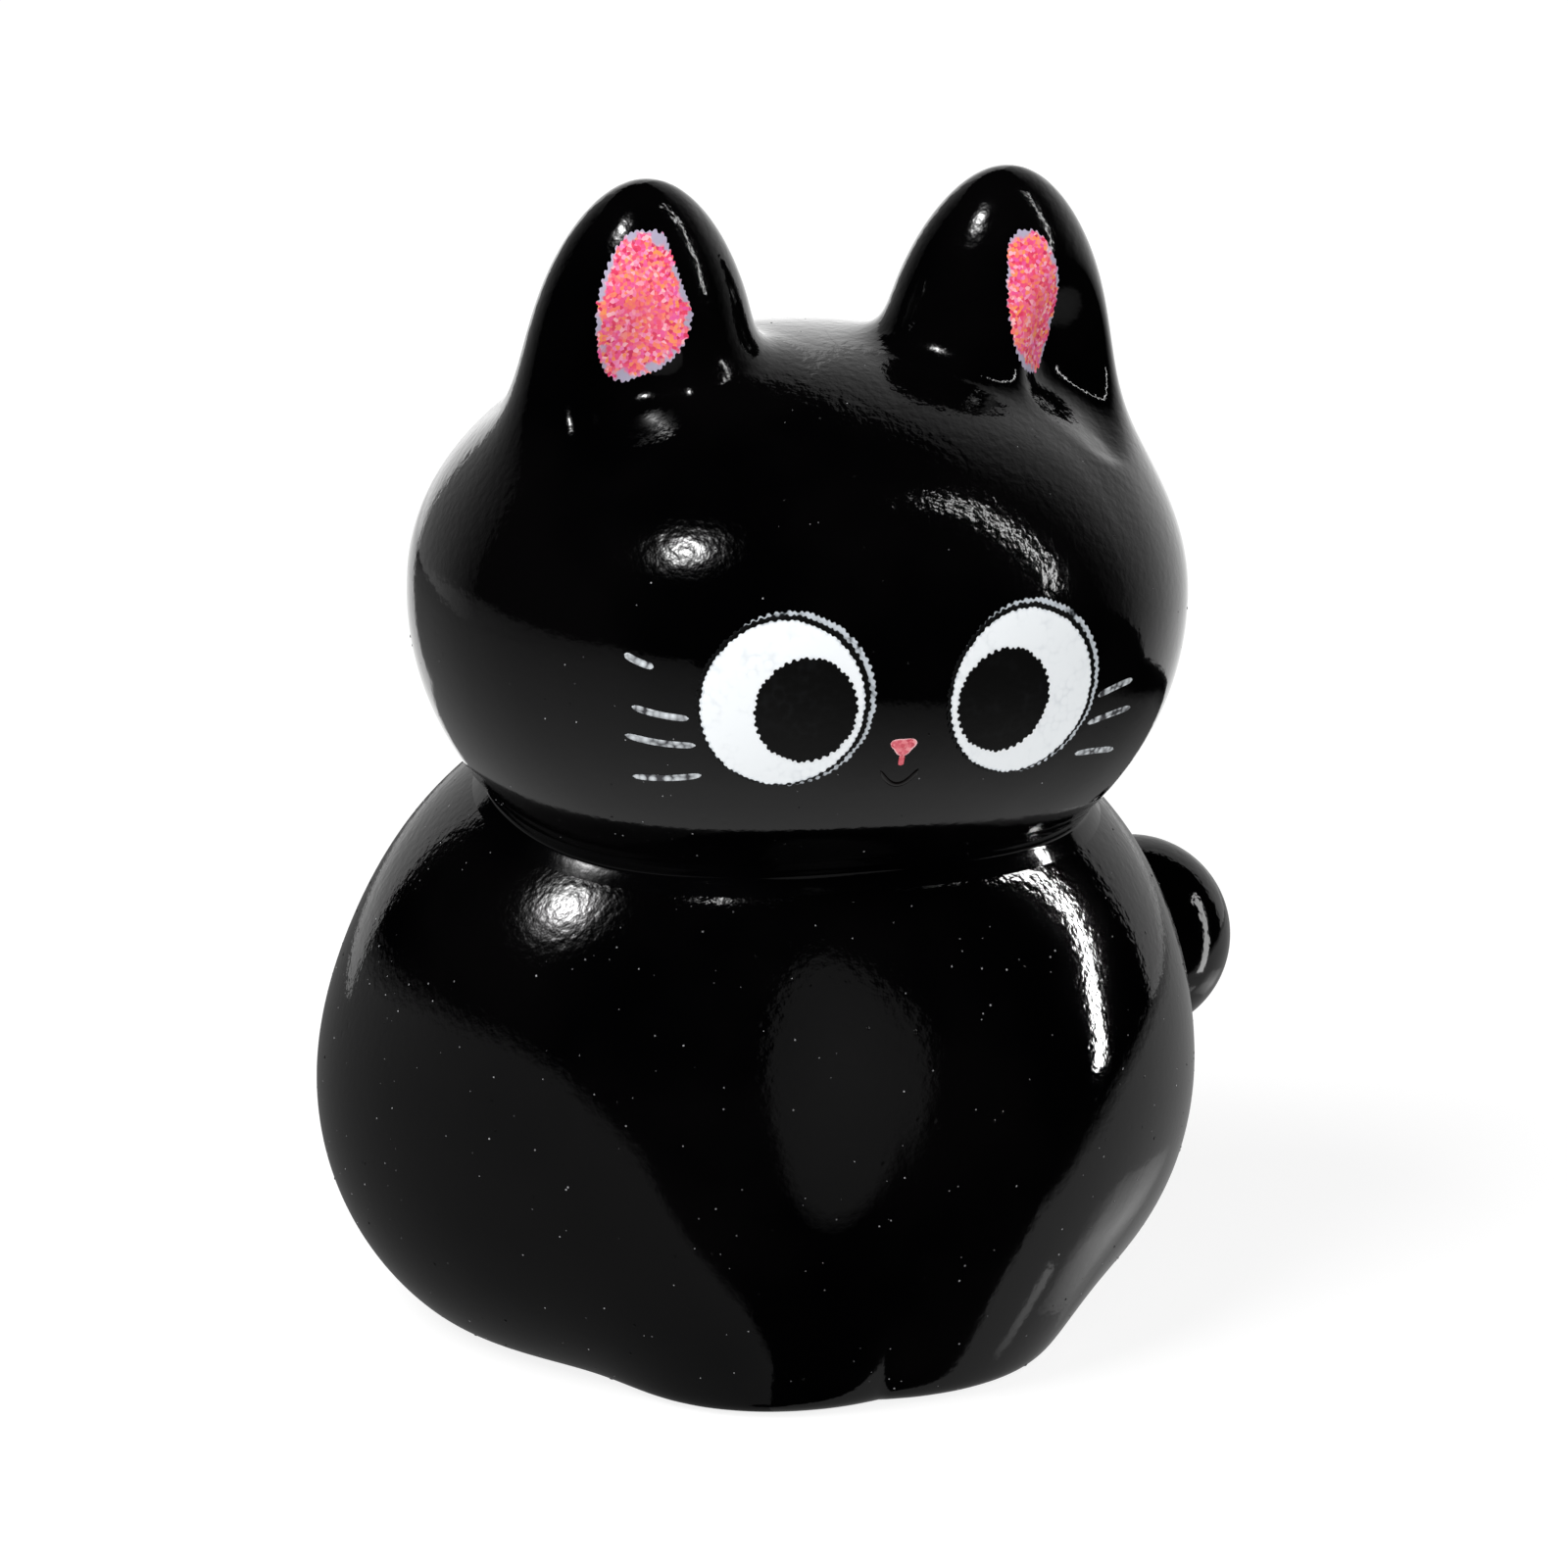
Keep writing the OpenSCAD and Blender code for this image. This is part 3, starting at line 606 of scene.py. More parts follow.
def straight(start, end, bow=0.0, count=25):
    t = np.linspace(0, 1, count)[:, None]
    start, end = np.array(start), np.array(end)
    across = np.array([start[1] - end[1], end[0] - start[0]])
    return start + (end - start) * t + across * bow * 4 * t * (1 - t)


nose_sheet = lay_sheet(bare_head, 0, NOSE_Z)
stem_path = straight((0, -0.3), (0, -0.54))
nose_stem = trail("nose_stem_print", nose_sheet, [stem_path], width=0.12, height=0.012)
mouth_path = straight((-0.4, -0.66), (0.4, -0.66), bow=-0.425, count=41)
mouth = trail("mouth_line", nose_sheet, [mouth_path], width=0.1, height=0.02)

# %% Whiskers
# Each stroke's inner and outer end, across and up from the sheet's middle, for the left cheek.
WHISKER_OUT, WHISKER_Z = 4.75, 14.3
WHISKER_ENDS = [((-0.45, 0.60), (0.60, 0.74)),
                ((-0.60, 0.02), (0.72, 0.10)),
                ((-0.72, -0.66), (0.56, -0.84))]
STRAY_ENDS = ((-0.8, 1.78), (-0.2, 1.6))


def print_whiskers(name, side, longer):
    sheet = lay_sheet(bare_head, side * WHISKER_OUT, WHISKER_Z)
    paths = [straight((side * (a[0] - longer), a[1]), (side * b[0], b[1]), bow=0.03)
             for a, b in WHISKER_ENDS]
    if side < 0:
        paths.append(straight(*STRAY_ENDS, bow=-0.04))
    return trail(name, sheet, paths, width=0.14, height=0.01)


left_whiskers = print_whiskers("left_whisker_print", 1, 0)
right_whiskers = print_whiskers("right_whisker_print", -1, 0.1)

# %% [markdown]
# ## Inner ears
# A pink leaf is printed in the dish of each ear: narrow on top, and lower on its outer side. The
# right one is drawn on the left side too and mirrored. The leaves are kept out of reflections,
# because the glaze in front of them is too uneven to mirror them.

# %% Inner ear leaves
LEAF_HALF_H, LEAF_SQUARE = 1.45, 0.82
INNER_CUT, OUTER_CUT, LEAF_DROP = 0.65, 0.2, 0.42


def leaf_outline(half_w, slant, count=360):
    """A leaf narrow on top; slant cuts its inner side more and draws its outer end down."""
    a = np.arange(count) * 2 * np.pi / count
    c, s = (np.sign(v) * np.abs(v) ** LEAF_SQUARE for v in (np.cos(a), np.sin(a)))
    top, inner, outer = np.maximum(0, s), np.maximum(0, -c), np.maximum(0, c)
    x = half_w * c * (1 - INNER_CUT * slant * top * inner - OUTER_CUT * top * outer)
    return np.stack([x, LEAF_HALF_H * s - LEAF_DROP * slant * x * np.maximum(0, -s)], axis=1)


def print_leaf(name, grown, side, half_w, slant, out, down):
    sheet = lay_sheet(grown, EAR_OUT + out, EAR_TIP_Z - down)
    drawing = screen_steps(leaf_outline(half_w, slant), 0.03)
    leaf = print_patch(name, grown, sheet, drawing, 1, rings=26, side=side)
    leaf.visible_glossy = False
    return leaf


left_leaf = print_leaf("left_inner_ear", left_eared_head, 1,
                       half_w=0.62, slant=0.3, out=0.27, down=2.5)
right_leaf = print_leaf("right_inner_ear", right_eared_head, -1,
                        half_w=0.95, slant=1.0, out=0.45, down=2.3)

# %% [markdown]
# ## Finishes
# A finish is mostly what happens at a tenth of a millimetre. An effect that several finishes
# need is a node group with named inputs, and each finish puts its own numbers in. All patterns
# use Object coordinates, in metres, so a noise scale of 1000 makes features about a millimetre
# wide. Heights are in micrometres, because a Bump node's distance then says so plainly.

# %% Helpers for node groups and materials
MICROMETRE = 1e-6


def new_group(name, inputs, outputs):
    group = bpy.data.node_groups.new(name, "ShaderNodeTree")
    for label, start in inputs.items():
        socket = group.interface.new_socket(label, in_out="INPUT", socket_type="NodeSocketFloat")
        socket.default_value = start
    for label in outputs:
        group.interface.new_socket(label, in_out="OUTPUT", socket_type="NodeSocketFloat")
    return group, add(group, "NodeGroupInput").outputs


def feed(tree, socket, value):
    """Puts a value in a socket, or a link to the socket that the value comes from."""
    if isinstance(value, bpy.types.NodeSocket):
        tree.links.new(value, socket)
    else:
        socket.default_value = value


def add(tree, kind, feeds=None, **settings):
    """Adds a node; feeds names an input socket and the value or socket that goes in it."""
    node = tree.nodes.new(kind)
    for key, value in settings.items():
        setattr(node, key, value)
    for key, value in (feeds or {}).items():
        feed(tree, node.inputs[key], value)
    return node


def object_place(tree):
    return add(tree, "ShaderNodeTexCoord").outputs["Object"]


def noise(tree, where, scale, detail):
    feeds = {"Vector": where, "Scale": scale, "Detail": detail}
    return add(tree, "ShaderNodeTexNoise", feeds).outputs["Fac"]


def point_mark(tree, label):
    return add(tree, "ShaderNodeAttribute", attribute_name=label).outputs["Fac"]


def sums(tree, operation, a, b, clamp=False):
    return add(tree, "ShaderNodeMath", {0: a, 1: b}, operation=operation, use_clamp=clamp).outputs[0]


def times(tree, a, b, clamp=False):
    return sums(tree, "MULTIPLY", a, b, clamp)


def spread(tree, value, low, high, to_low=0.0, to_high=1.0):
    feeds = {"Value": value, "From Min": low, "From Max": high, "To Min": to_low, "To Max": to_high}
    return add(tree, "ShaderNodeMapRange", feeds, interpolation_type="SMOOTHSTEP").outputs["Result"]


def blend(tree, factor, a, b):
    """From colour a to colour b; either may be three numbers or a socket."""
    a, b = (v if isinstance(v, bpy.types.NodeSocket) else (*v, 1) for v in (a, b))
    return add(tree, "ShaderNodeMix", {"Factor": factor, 6: a, 7: b}, data_type="RGBA").outputs[2]


def place_group(tree, group, **values):
    return add(tree, "ShaderNodeGroup", values, node_tree=group).outputs


# %% [markdown]
# ### Glaze skin
# Fired glaze levels itself out under surface tension but freezes before it is quite flat. What
# stays is an orange peel, stronger where fine dust settled on upward surfaces, a slow pooling a
# few millimetres across, and pinholes where gas came out. Only their heights differ from one
# glaze to the next, so this is one group.

# %% Glaze skin group
def glaze_skin_group():
    heights = {"Peel": 10.0, "Pooling": 6.0, "Pinholes": 3.0}
    group, given = new_group("glaze_skin", heights, ["Height", "Cloud"])
    where = object_place(group)
    normal = add(group, "ShaderNodeNewGeometry").outputs["Normal"]
    up = add(group, "ShaderNodeSeparateXYZ", {0: normal}).outputs["Z"]
    peel = times(group, noise(group, where, 5200.0, 2.0), spread(group, up, -0.1, 0.75, 0.22, 1.0))
    pool = noise(group, where, 420.0, 2.0)
    cell = add(group, "ShaderNodeTexVoronoi", {"Vector": where, "Scale": 1500.0}).outputs["Distance"]
    pit = times(group, spread(group, cell, 0.0, 0.14, 1.0, 0.0), spread(group, pool, 0.5, 0.62))
    height = sums(group, "ADD", times(group, peel, given["Peel"]), times(group, pool, given["Pooling"]))
    height = sums(group, "SUBTRACT", height, times(group, pit, given["Pinholes"]))
    cloud = spread(group, noise(group, where, 230.0, 3.0), 0.35, 0.65)
    add(group, "NodeGroupOutput", {"Height": height, "Cloud": cloud})
    return group


GLAZE_SKIN = glaze_skin_group()

# %% [markdown]
# ### Printed grain
# A screen print is a lattice of ink dots as fine as the screen's threads, never quite closed.
# Where the ink is thin the colour under it shows, and each thread leaves a tiny ridge.

# %% Printed grain group
def printed_grain_group():
    group, given = new_group("printed_grain", {"Thread": 6000.0, "Gaps": 0.3}, ["Thin", "Ridge"])
    where = object_place(group)
    dots = add(group, "ShaderNodeTexVoronoi", {
        "Vector": where, "Scale": given["Thread"], "Randomness": 0.7}).outputs["Distance"]
    patchy = spread(group, noise(group, where, 1900.0, 3.0), 0.42, 0.68)
    hollow = times(group, spread(group, dots, 0.35, 0.85), patchy)
    thin = times(group, hollow, given["Gaps"], clamp=True)
    add(group, "NodeGroupOutput", {"Thin": thin, "Ridge": sums(group, "SUBTRACT", 1.0, dots)})
    return group


PRINTED_GRAIN = printed_grain_group()


# %% Starting a finish
def start_finish(name, **sockets):
    finish = bpy.data.materials.new(name)
    finish.use_nodes = True
    tree = finish.node_tree
    surface = next(n for n in tree.nodes if n.type == "BSDF_PRINCIPLED")
    for key, value in sockets.items():
        surface.inputs[key.replace("_", " ")].default_value = value
    return finish, tree, surface


def coat(tree, surface, colour, roughness, height, micrometres=1.0):
    """Wires a finish; micrometres is how high a height of 1 stands."""
    feeds = {"Height": height, "Distance": micrometres * MICROMETRE, "Strength": 1.0}
    normal = add(tree, "ShaderNodeBump", feeds).outputs["Normal"]
    for label, value in (("Base Color", colour), ("Roughness", roughness), ("Normal", normal)):
        tree.links.new(value, surface.inputs[label])


# %% [markdown]
# ### Black glaze, and the bare clay under it
# The glaze is black from iron and manganese, dense enough that no clay shows through. Its gloss
# comes from the smooth surface alone. The `bare` mark on the castings turns to dry clay where the
# foot was wiped, with a ragged edge as a damp sponge leaves it. The clay is pale, matt and gritty.

# %% Black glaze
def black_glaze(name, peel, pooling, pinholes, dark, light):
    finish, tree, surface = start_finish(name, IOR=1.52)
    skin = place_group(tree, GLAZE_SKIN, Peel=peel, Pooling=pooling, Pinholes=pinholes)
    where = object_place(tree)
    ragged_edge = spread(tree, noise(tree, where, 1300.0, 3.0), 0.3, 0.7, -0.35, 0.35)
    dry = spread(tree, sums(tree, "ADD", point_mark(tree, "bare"), ragged_edge), 0.45, 0.6)
    grit = noise(tree, where, 5200.0, 4.0)
    clay = blend(tree, spread(tree, grit, 0.35, 0.65), (0.46, 0.38, 0.29), (0.68, 0.61, 0.5))
    colour = blend(tree, dry, blend(tree, skin["Cloud"], dark, light), clay)
    gloss = spread(tree, skin["Cloud"], 0.0, 1.0, 0.055, 0.09)
    rough = sums(tree, "ADD", gloss, times(tree, dry, 0.8), clamp=True)
    gritty = times(tree, times(tree, grit, dry), 18.0)
    coat(tree, surface, colour, rough, sums(tree, "ADD", skin["Height"], gritty))
    return finish


def ash_dust():
    finish, tree, surface = start_finish("fired_in_ash", Roughness=0.55)
    speckle = spread(tree, noise(tree, object_place(tree), 3000.0, 2.0), 0.35, 0.65)
    tint = blend(tree, speckle, (0.03, 0.03, 0.032), (0.3, 0.3, 0.31))
    tree.links.new(tint, surface.inputs["Base Color"])
    return finish


ash = ash_dust()
glaze = black_glaze("black_glaze", peel=10.0, pooling=6.0, pinholes=3.0,
                    dark=(0.0004, 0.0004, 0.0005), light=(0.0012, 0.0011, 0.0012))
pooled_glaze = black_glaze("pooled_slip_glaze", peel=4.0, pooling=3.0, pinholes=0.0,
                           dark=(0.0004, 0.0004, 0.0005), light=(0.0015, 0.0015, 0.0017))
trailed_glaze = black_glaze("trailed_mouth_glaze", peel=1.0, pooling=1.0, pinholes=0.0,
                            dark=(0.001, 0.001, 0.001), light=(0.004, 0.003, 0.003))

# %% [markdown]
# ### Printed inks
# Enamel inks melt only a little, so they stay less glossy than the glaze. The white is thin enough
# for the glaze to grey it in specks. The `edge` mark runs from 0 in the middle of a print to 1 at
# its outline, and each ink uses it to fray towards its edge.

# %% White and black inks
def printed_ink(name, full, thin, roughness, gaps, thread, fray, **sockets):
    finish, tree, surface = start_finish(name, IOR=1.5, **sockets)
    grain = place_group(tree, PRINTED_GRAIN, Thread=thread, Gaps=gaps)
    near_edge = spread(tree, point_mark(tree, "edge"), fray, 1.0)
    frayed = times(tree, near_edge, sums(tree, "SUBTRACT", 1.0, grain["Ridge"]))
    worn = sums(tree, "ADD", grain["Thin"], frayed, clamp=True)
    rough = spread(tree, worn, 0.0, 1.0, roughness, roughness * 0.6)
    coat(tree, surface, blend(tree, worn, full, thin), rough, grain["Ridge"], micrometres=2.0)
    return finish


white_ink = printed_ink("white_print", (0.84, 0.87, 0.89), (0.5, 0.54, 0.58),
                        roughness=0.32, gaps=0.35, thread=6000.0, fray=0.965)
rim_ink = printed_ink("thin_white_print", (0.5, 0.54, 0.58), (0.03, 0.035, 0.04),
                      roughness=0.34, gaps=1.2, thread=6500.0, fray=0.99)
whisker_ink = printed_ink("whisker_print", (0.7, 0.74, 0.77), (0.04, 0.04, 0.045),
                          roughness=0.35, gaps=0.55, thread=7000.0, fray=2.0)
black_ink = printed_ink("black_print", (0.003, 0.003, 0.003), (0.012, 0.013, 0.014),
                        roughness=0.3, gaps=0.3, thread=6000.0, fray=0.97, Specular_IOR_Level=0.25)


# %% Pink inks
def pink_ink(name, middle, body, fringe, fray, thread=14000.0):
    """A print of many coloured dots: a deeper middle, a mottled body and a pale fringe."""
    finish, tree, surface = start_finish(name, IOR=1.5)
    where = object_place(tree)
    dots = add(tree, "ShaderNodeTexVoronoi", {"Vector": where, "Scale": thread, "Randomness": 0.85})
    pick = add(tree, "ShaderNodeSeparateColor", {"Color": dots.outputs["Color"]}).outputs[0]
    ramp = add(tree, "ShaderNodeValToRGB", {"Fac": pick})
    steps = ramp.color_ramp.elements
    steps[0].color, steps[1].color = (*body[0], 1), (*body[-1], 1)
    for k, colour in enumerate(body[1:-1], 1):
        steps.new(k / (len(body) - 1)).color = (*colour, 1)
    blot = noise(tree, where, 2600.0, 3.0)
    loose = sums(tree, "ADD", point_mark(tree, "edge"), spread(tree, blot, 0.3, 0.7, -0.12, 0.12))
    deep = blend(tree, spread(tree, loose, 0.0, 0.7, 0.4, 0.0), ramp.outputs["Color"], middle)
    colour = blend(tree, spread(tree, loose, fray, 1.0), deep, fringe)
    rough = spread(tree, blot, 0.3, 0.7, 0.22, 0.36)
    coat(tree, surface, colour, rough, dots.outputs["Distance"], micrometres=4.0)
    return finish


EAR_DOTS = [(0.6, 0.02, 0.1), (0.85, 0.07, 0.14), (0.8, 0.1, 0.34), (0.9, 0.16, 0.16),
            (0.9, 0.3, 0.08), (0.85, 0.2, 0.45), (0.95, 0.5, 0.5)]
NOSE_DOTS = [(0.5, 0.05, 0.08), (0.75, 0.16, 0.2), (0.85, 0.3, 0.32)]
ear_ink = pink_ink("ear_print", (0.8, 0.1, 0.12), EAR_DOTS, (0.4, 0.36, 0.48), fray=0.9)
nose_ink = pink_ink("pink_print", (0.5, 0.04, 0.06), NOSE_DOTS, (0.85, 0.5, 0.52), fray=0.8)

# %% [markdown]
# ## Kiln specks
# Dust and tiny bubbles leave pimples in a black glaze, and ash settles on it as finer, paler
# grains. All are alike but for size, so Geometry Nodes scatter them: points on the glazed faces,
# a flattened bead on each, set along the surface normal, with a fixed seed. The head and the body
# have their own seeds, and the body has more because the glaze pools low on it.

# %% A tree that scatters specks
def speck_tree():
    tree = bpy.data.node_groups.new("scatter_specks", "GeometryNodeTree")
    for label, kind in (("Geometry", "Geometry"), ("Density", "Float"), ("Speck radius", "Float"),
                        ("Seed", "Int"), ("Glaze", "Material")):
        tree.interface.new_socket(label, in_out="INPUT", socket_type="NodeSocket" + kind)
    tree.interface.new_socket("Geometry", in_out="OUTPUT", socket_type="NodeSocketGeometry")
    given = add(tree, "NodeGroupInput").outputs
    seed = given["Seed"]
    bare = add(tree, "GeometryNodeInputNamedAttribute", {"Name": "bare"}).outputs["Attribute"]
    glazed = add(tree, "FunctionNodeCompare", {"A": bare, "B": 0.5}, operation="LESS_THAN")
    scatter = add(tree, "GeometryNodeDistributePointsOnFaces", {
        "Mesh": given["Geometry"], "Selection": glazed.outputs["Result"],
        "Density": given["Density"], "Seed": seed})
    bead = add(tree, "GeometryNodeMeshUVSphere", {
        "Segments": 8, "Rings": 5, "Radius": given["Speck radius"]})
    flat = add(tree, "GeometryNodeTransform", {"Geometry": bead.outputs["Mesh"], "Scale": (1, 1, 0.4)})
    size = add(tree, "FunctionNodeRandomValue", {2: 0.35, 3: 1.0, "Seed": seed}, data_type="FLOAT")
    placed = add(tree, "GeometryNodeInstanceOnPoints", {
        "Points": scatter.outputs["Points"], "Instance": flat.outputs["Geometry"],
        "Rotation": scatter.outputs["Rotation"], "Scale": size.outputs[1]})
    real = add(tree, "GeometryNodeRealizeInstances", {"Geometry": placed.outputs["Instances"]})
    smooth = add(tree, "GeometryNodeSetShadeSmooth", {"Geometry": real.outputs["Geometry"]})
    painted = add(tree, "GeometryNodeSetMaterial", {
        "Geometry": smooth.outputs["Geometry"], "Material": given["Glaze"]})
    add(tree, "NodeGroupOutput", {"Geometry": painted.outputs["Geometry"]})
    return tree


SPECK_TREE = speck_tree()


# %% Specks and ash
def scatter_specks(name, casting, density, radius, seed, finish):
    """Specks on one casting, as a plain mesh of their own; density is per square metre."""
    host = new_object(name + "_host", casting.data)
    scatter = host.modifiers.new("specks", "NODES")
    scatter.node_group = SPECK_TREE
    values = {"Density": density, "Speck radius": radius * MM, "Seed": seed, "Glaze": finish}
    for item in SPECK_TREE.interface.items_tree:
        if item.in_out == "INPUT" and item.name in values:
            scatter[item.identifier] = values[item.name]
    seen = host.evaluated_get(bpy.context.evaluated_depsgraph_get())
    mesh = bpy.data.meshes.new_from_object(seen)
    bpy.data.objects.remove(host)
    mesh.name = name
    print(f"{name}: {len(mesh.polygons)} faces")
    return new_object(name, mesh)


body_specks = scatter_specks("body_specks", body_casting, 300000.0, radius=0.04, seed=11, finish=glaze)
head_specks = scatter_specks("head_specks", head_casting, 200000.0, radius=0.035, seed=4, finish=glaze)
body_ash = scatter_specks("body_ash", body_casting, 900000.0, radius=0.024, seed=23, finish=ash)
head_ash = scatter_specks("head_ash", head_casting, 500000.0, radius=0.02, seed=31, finish=ash)

# %% [markdown]
# ## Handing the pieces to the frame
# Each piece stands for its frame node, takes its finish and rides the one body. Rings run
# downwards and anticlockwise, so every face has looked inwards up to here and is turned outwards
# now. The printed line says how far a piece's box is from its frame node's.

# %% Pieces, nodes and slots
PIECES = [(body_casting, "body", "black_glaze", glaze),
          (head_casting, "head", "black_glaze", glaze),
          (neck_slip, "neck_slip_ring", "slip_glaze", pooled_glaze),
          (left_ear, "ear_left", "black_glaze", glaze),
          (right_ear, "ear_right", "black_glaze", glaze),
          (bobtail, "tail", "black_glaze", glaze),
          (nose, "nose", "pink_print", nose_ink),
          (nose_stem, "nose_stem", "pink_print", nose_ink),
          (mouth, "mouth", "mouth_glaze", trailed_glaze),
          (left_whiskers, "whiskers_left", "white_print", whisker_ink),
          (right_whiskers, "whiskers_right", "white_print", whisker_ink),
          (left_leaf, "inner_ear_left", "ear_print", ear_ink),
          (right_leaf, "inner_ear_right", "ear_print", ear_ink)]
for node, piece in eyes.items():
    inks = {"eye_rim": rim_ink, "eye_white": white_ink}
    ink = next((inks[k] for k in inks if node.startswith(k)), black_ink)
    PIECES.append((piece, node, "black_print" if ink is black_ink else "white_print", ink))

for piece, node, slot, finish in PIECES:
    piece.data.flip_normals()
    piece.data.materials.append(finish)
    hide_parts(node)
    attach(piece, "root")
    seen = np.array([v.co for v in piece.data.vertices])
    low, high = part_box(node)
    off = max(np.abs(seen.min(axis=0) - low).max(), np.abs(seen.max(axis=0) - high).max())
    print(f"{piece.name} is within {off / MM:.3f} mm of {node}")

for specks in (body_specks, head_specks, body_ash, head_ash):
    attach(specks, "root")

# %% [markdown]
# ## Floor
# The floor is plain and pale, and glows a little so that the cat's shadow stays soft. It is kept
# out of reflections, because the glaze gets its own surroundings below.

# %% Floor
def stage_mesh(name, points, faces, finish):
    mesh = bpy.data.meshes.new(name)
    mesh.from_pydata([tuple(p) for p in points], [], faces)
    mesh.materials.append(finish)
    made = new_object(name, mesh)
    return made


FLOOR_HALF = 0.8
corners = [(x * FLOOR_HALF, y * FLOOR_HALF, 0) for x, y in ((-1, -1), (1, -1), (1, 1), (-1, 1))]
pale, _, _ = start_finish("pale_floor", Base_Color=(0.25, 0.25, 0.25, 1), Roughness=0.9,
                          Emission_Color=(1, 1, 1, 1), Emission_Strength=0.86)
floor = stage_mesh("floor", corners, [(0, 1, 2, 3)], pale)
floor.visible_glossy = False

# %% [markdown]
# ## What the glaze sees
# A mirror finish is lit by what it reflects, so the surroundings are built as cards: a grey table,
# a lighter wall behind, and nothing in front, which keeps the front of the cat black. Head and
# body bulge differently, and a maker lighting them would tweak the cards for each, so each card is
# linked to the casting that it is set for. A card is drawn by compass: azimuth 0 is in front of
# the cat, 90 is on its left, which is +X, and elevation is up from level, all in degrees.

# %% Card helpers
CARDS_AWAY = 0.3
HEAD_HEART, BODY_HEART = Vector((0, 0, 0.0165)), Vector((0, 0, 0.0075))
ON_HEAD = (HEAD_HEART, [head_casting, left_ear, right_ear, head_specks, head_ash, left_leaf, right_leaf,
                        nose, nose_stem, mouth, left_whiskers, right_whiskers, *eyes.values()])
ON_TAIL = (BODY_HEART, [bobtail])
ON_TORSO = (BODY_HEART, [body_casting, neck_slip, body_specks, body_ash])
ON_BODY = (BODY_HEART, ON_TORSO[1] + ON_TAIL[1])


def toward(azimuth, elevation=0.0):
    a, e = math.radians(azimuth), math.radians(elevation)
    return Vector((math.sin(a) * math.cos(e), -math.cos(a) * math.cos(e), math.sin(e)))


def only_reflected_by(card, pieces):
    card.visible_camera = card.visible_diffuse = card.visible_shadow = False
    linked = bpy.data.collections.new(card.name + "_for")
    for piece in pieces:
        linked.objects.link(piece)
    card.light_linking.receiver_collection = linked


def clear_glow(name, strength):
    """A finish that only adds light: what is behind it shows through, so cards may overlap."""
    finish = bpy.data.materials.new(name)
    finish.use_nodes = True
    tree = finish.node_tree
    tree.nodes.clear()
    glow = add(tree, "ShaderNodeEmission", {"Strength": strength(tree)}).outputs[0]
    clear = add(tree, "ShaderNodeBsdfTransparent").outputs[0]
    both = add(tree, "ShaderNodeAddShader", {0: glow, 1: clear}).outputs[0]
    add(tree, "ShaderNodeOutputMaterial", {"Surface": both})
    return finish


CARD_GLOW = clear_glow("card_glow", lambda tree: point_mark(tree, "glow"))


def band_card(name, seen_on, rows):
    """A band round the cat, from equally long rows of (azimuth, elevation, glow)."""
    heart, pieces = seen_on
    posts = [post for row in rows for post in row]
    points = [heart + toward(azimuth, elevation) * CARDS_AWAY for azimuth, elevation, _ in posts]
    n = len(rows[0])
    faces = [(j * n + k, j * n + k + 1, (j + 1) * n + k + 1, (j + 1) * n + k)
             for j in range(len(rows) - 1) for k in range(n - 1)]
    card = stage_mesh(name, points, faces, CARD_GLOW)
    mark_points(card.data, "glow", [glow for _, _, glow in posts])
    only_reflected_by(card, pieces)
    return card


def level(line, elevation, glow):
    """The same posts, all at one elevation."""
    return [(a, elevation, glow) for a, _ in line]


def raised(line, by, glow=0.0):
    """The same posts this much higher; a card fades out towards a row that doesn't glow."""
    return [(a, e + by, glow) for a, e in line]


# %% Cards for the head
table_edge = [(-200, -14), (-165, -12), (-140, -6), (-118, -2), (-82, -2), (-55, -3), (-30, -7),
              (-10, -19), (10, -23), (33, -27), (50, -27), (81, -29), (122, -28), (160, -20)]
band_card("head_table", ON_HEAD, [level(table_edge, -80, 0.6), level(table_edge, -55, 0.5),
                                  raised(table_edge, 0, 0.12), raised(table_edge, 2)])
# Each column's azimuth, foot, top and glow.
crown = [(70, 0, 36, 0.0), (80, -8, 52, 0.08), (97, -22, 58, 0.5), (115, -24, 60, 0.9),
         (135, -24, 58, 1.15), (155, -24, 48, 1.2), (190, -24, 42, 0.9)]
band_card("crown_wall", ON_HEAD, [[(a, low, g) for a, low, _, g in crown],
                                  [(a, (low + high) / 2, g) for a, low, high, g in crown],
                                  [(a, high, 0.15 * g) for a, _, high, g in crown]])
side_glows = [(-205, 0.45), (-180, 0.45), (-160, 0.3), (-125, 0.03)]
band_card("head_side_wall", ON_HEAD, [[(a, e, g) for a, g in side_glows] for e in (-10, 45)])

# %% Cards for the body
right_edge = [(-200, -9), (-165, -7), (-149, -4), (-122, 1), (-94, 3), (-75, -1), (-60, -12),
              (-49, -21), (-39, -41), (-26, -53), (-14, -64)]
left_edge = [(58, -47), (63, -33), (76, -24), (90, -18), (103, -14), (114, -12), (150, -10), (160, -9)]
for side, edge, under, near in (("right", right_edge, 0.10, 0.15), ("left", left_edge, 0.18, 0.34)):
    band_card(f"table_at_{side}_side", ON_BODY,
              [level(edge, -85, under), raised(edge, 0, near), raised(edge, 5)])
wall_top = [(108, 10), (125, 35), (160, 45), (200, 40)]
band_card("wall_behind", ON_BODY, [level(wall_top, -9, 0.5), raised(wall_top, 0, 0.35)])
band_card("haunch_card", ON_BODY,
          [[(92, -44, 0), (104, -42, 0.2), (120, -38, 0.2), (132, -36, 0)],
           [(92, -38, 0.1), (104, -36, 0.7), (120, -33, 0.7), (132, -30, 0.1)],
           [(92, -32, 0), (104, -29, 0.2), (120, -27, 0.2), (132, -25, 0)]])
band_card("paw_card", ON_BODY, [[(a, -52, 0.2), (a + 1, -40, 0.8)] for a in (80, 86)])
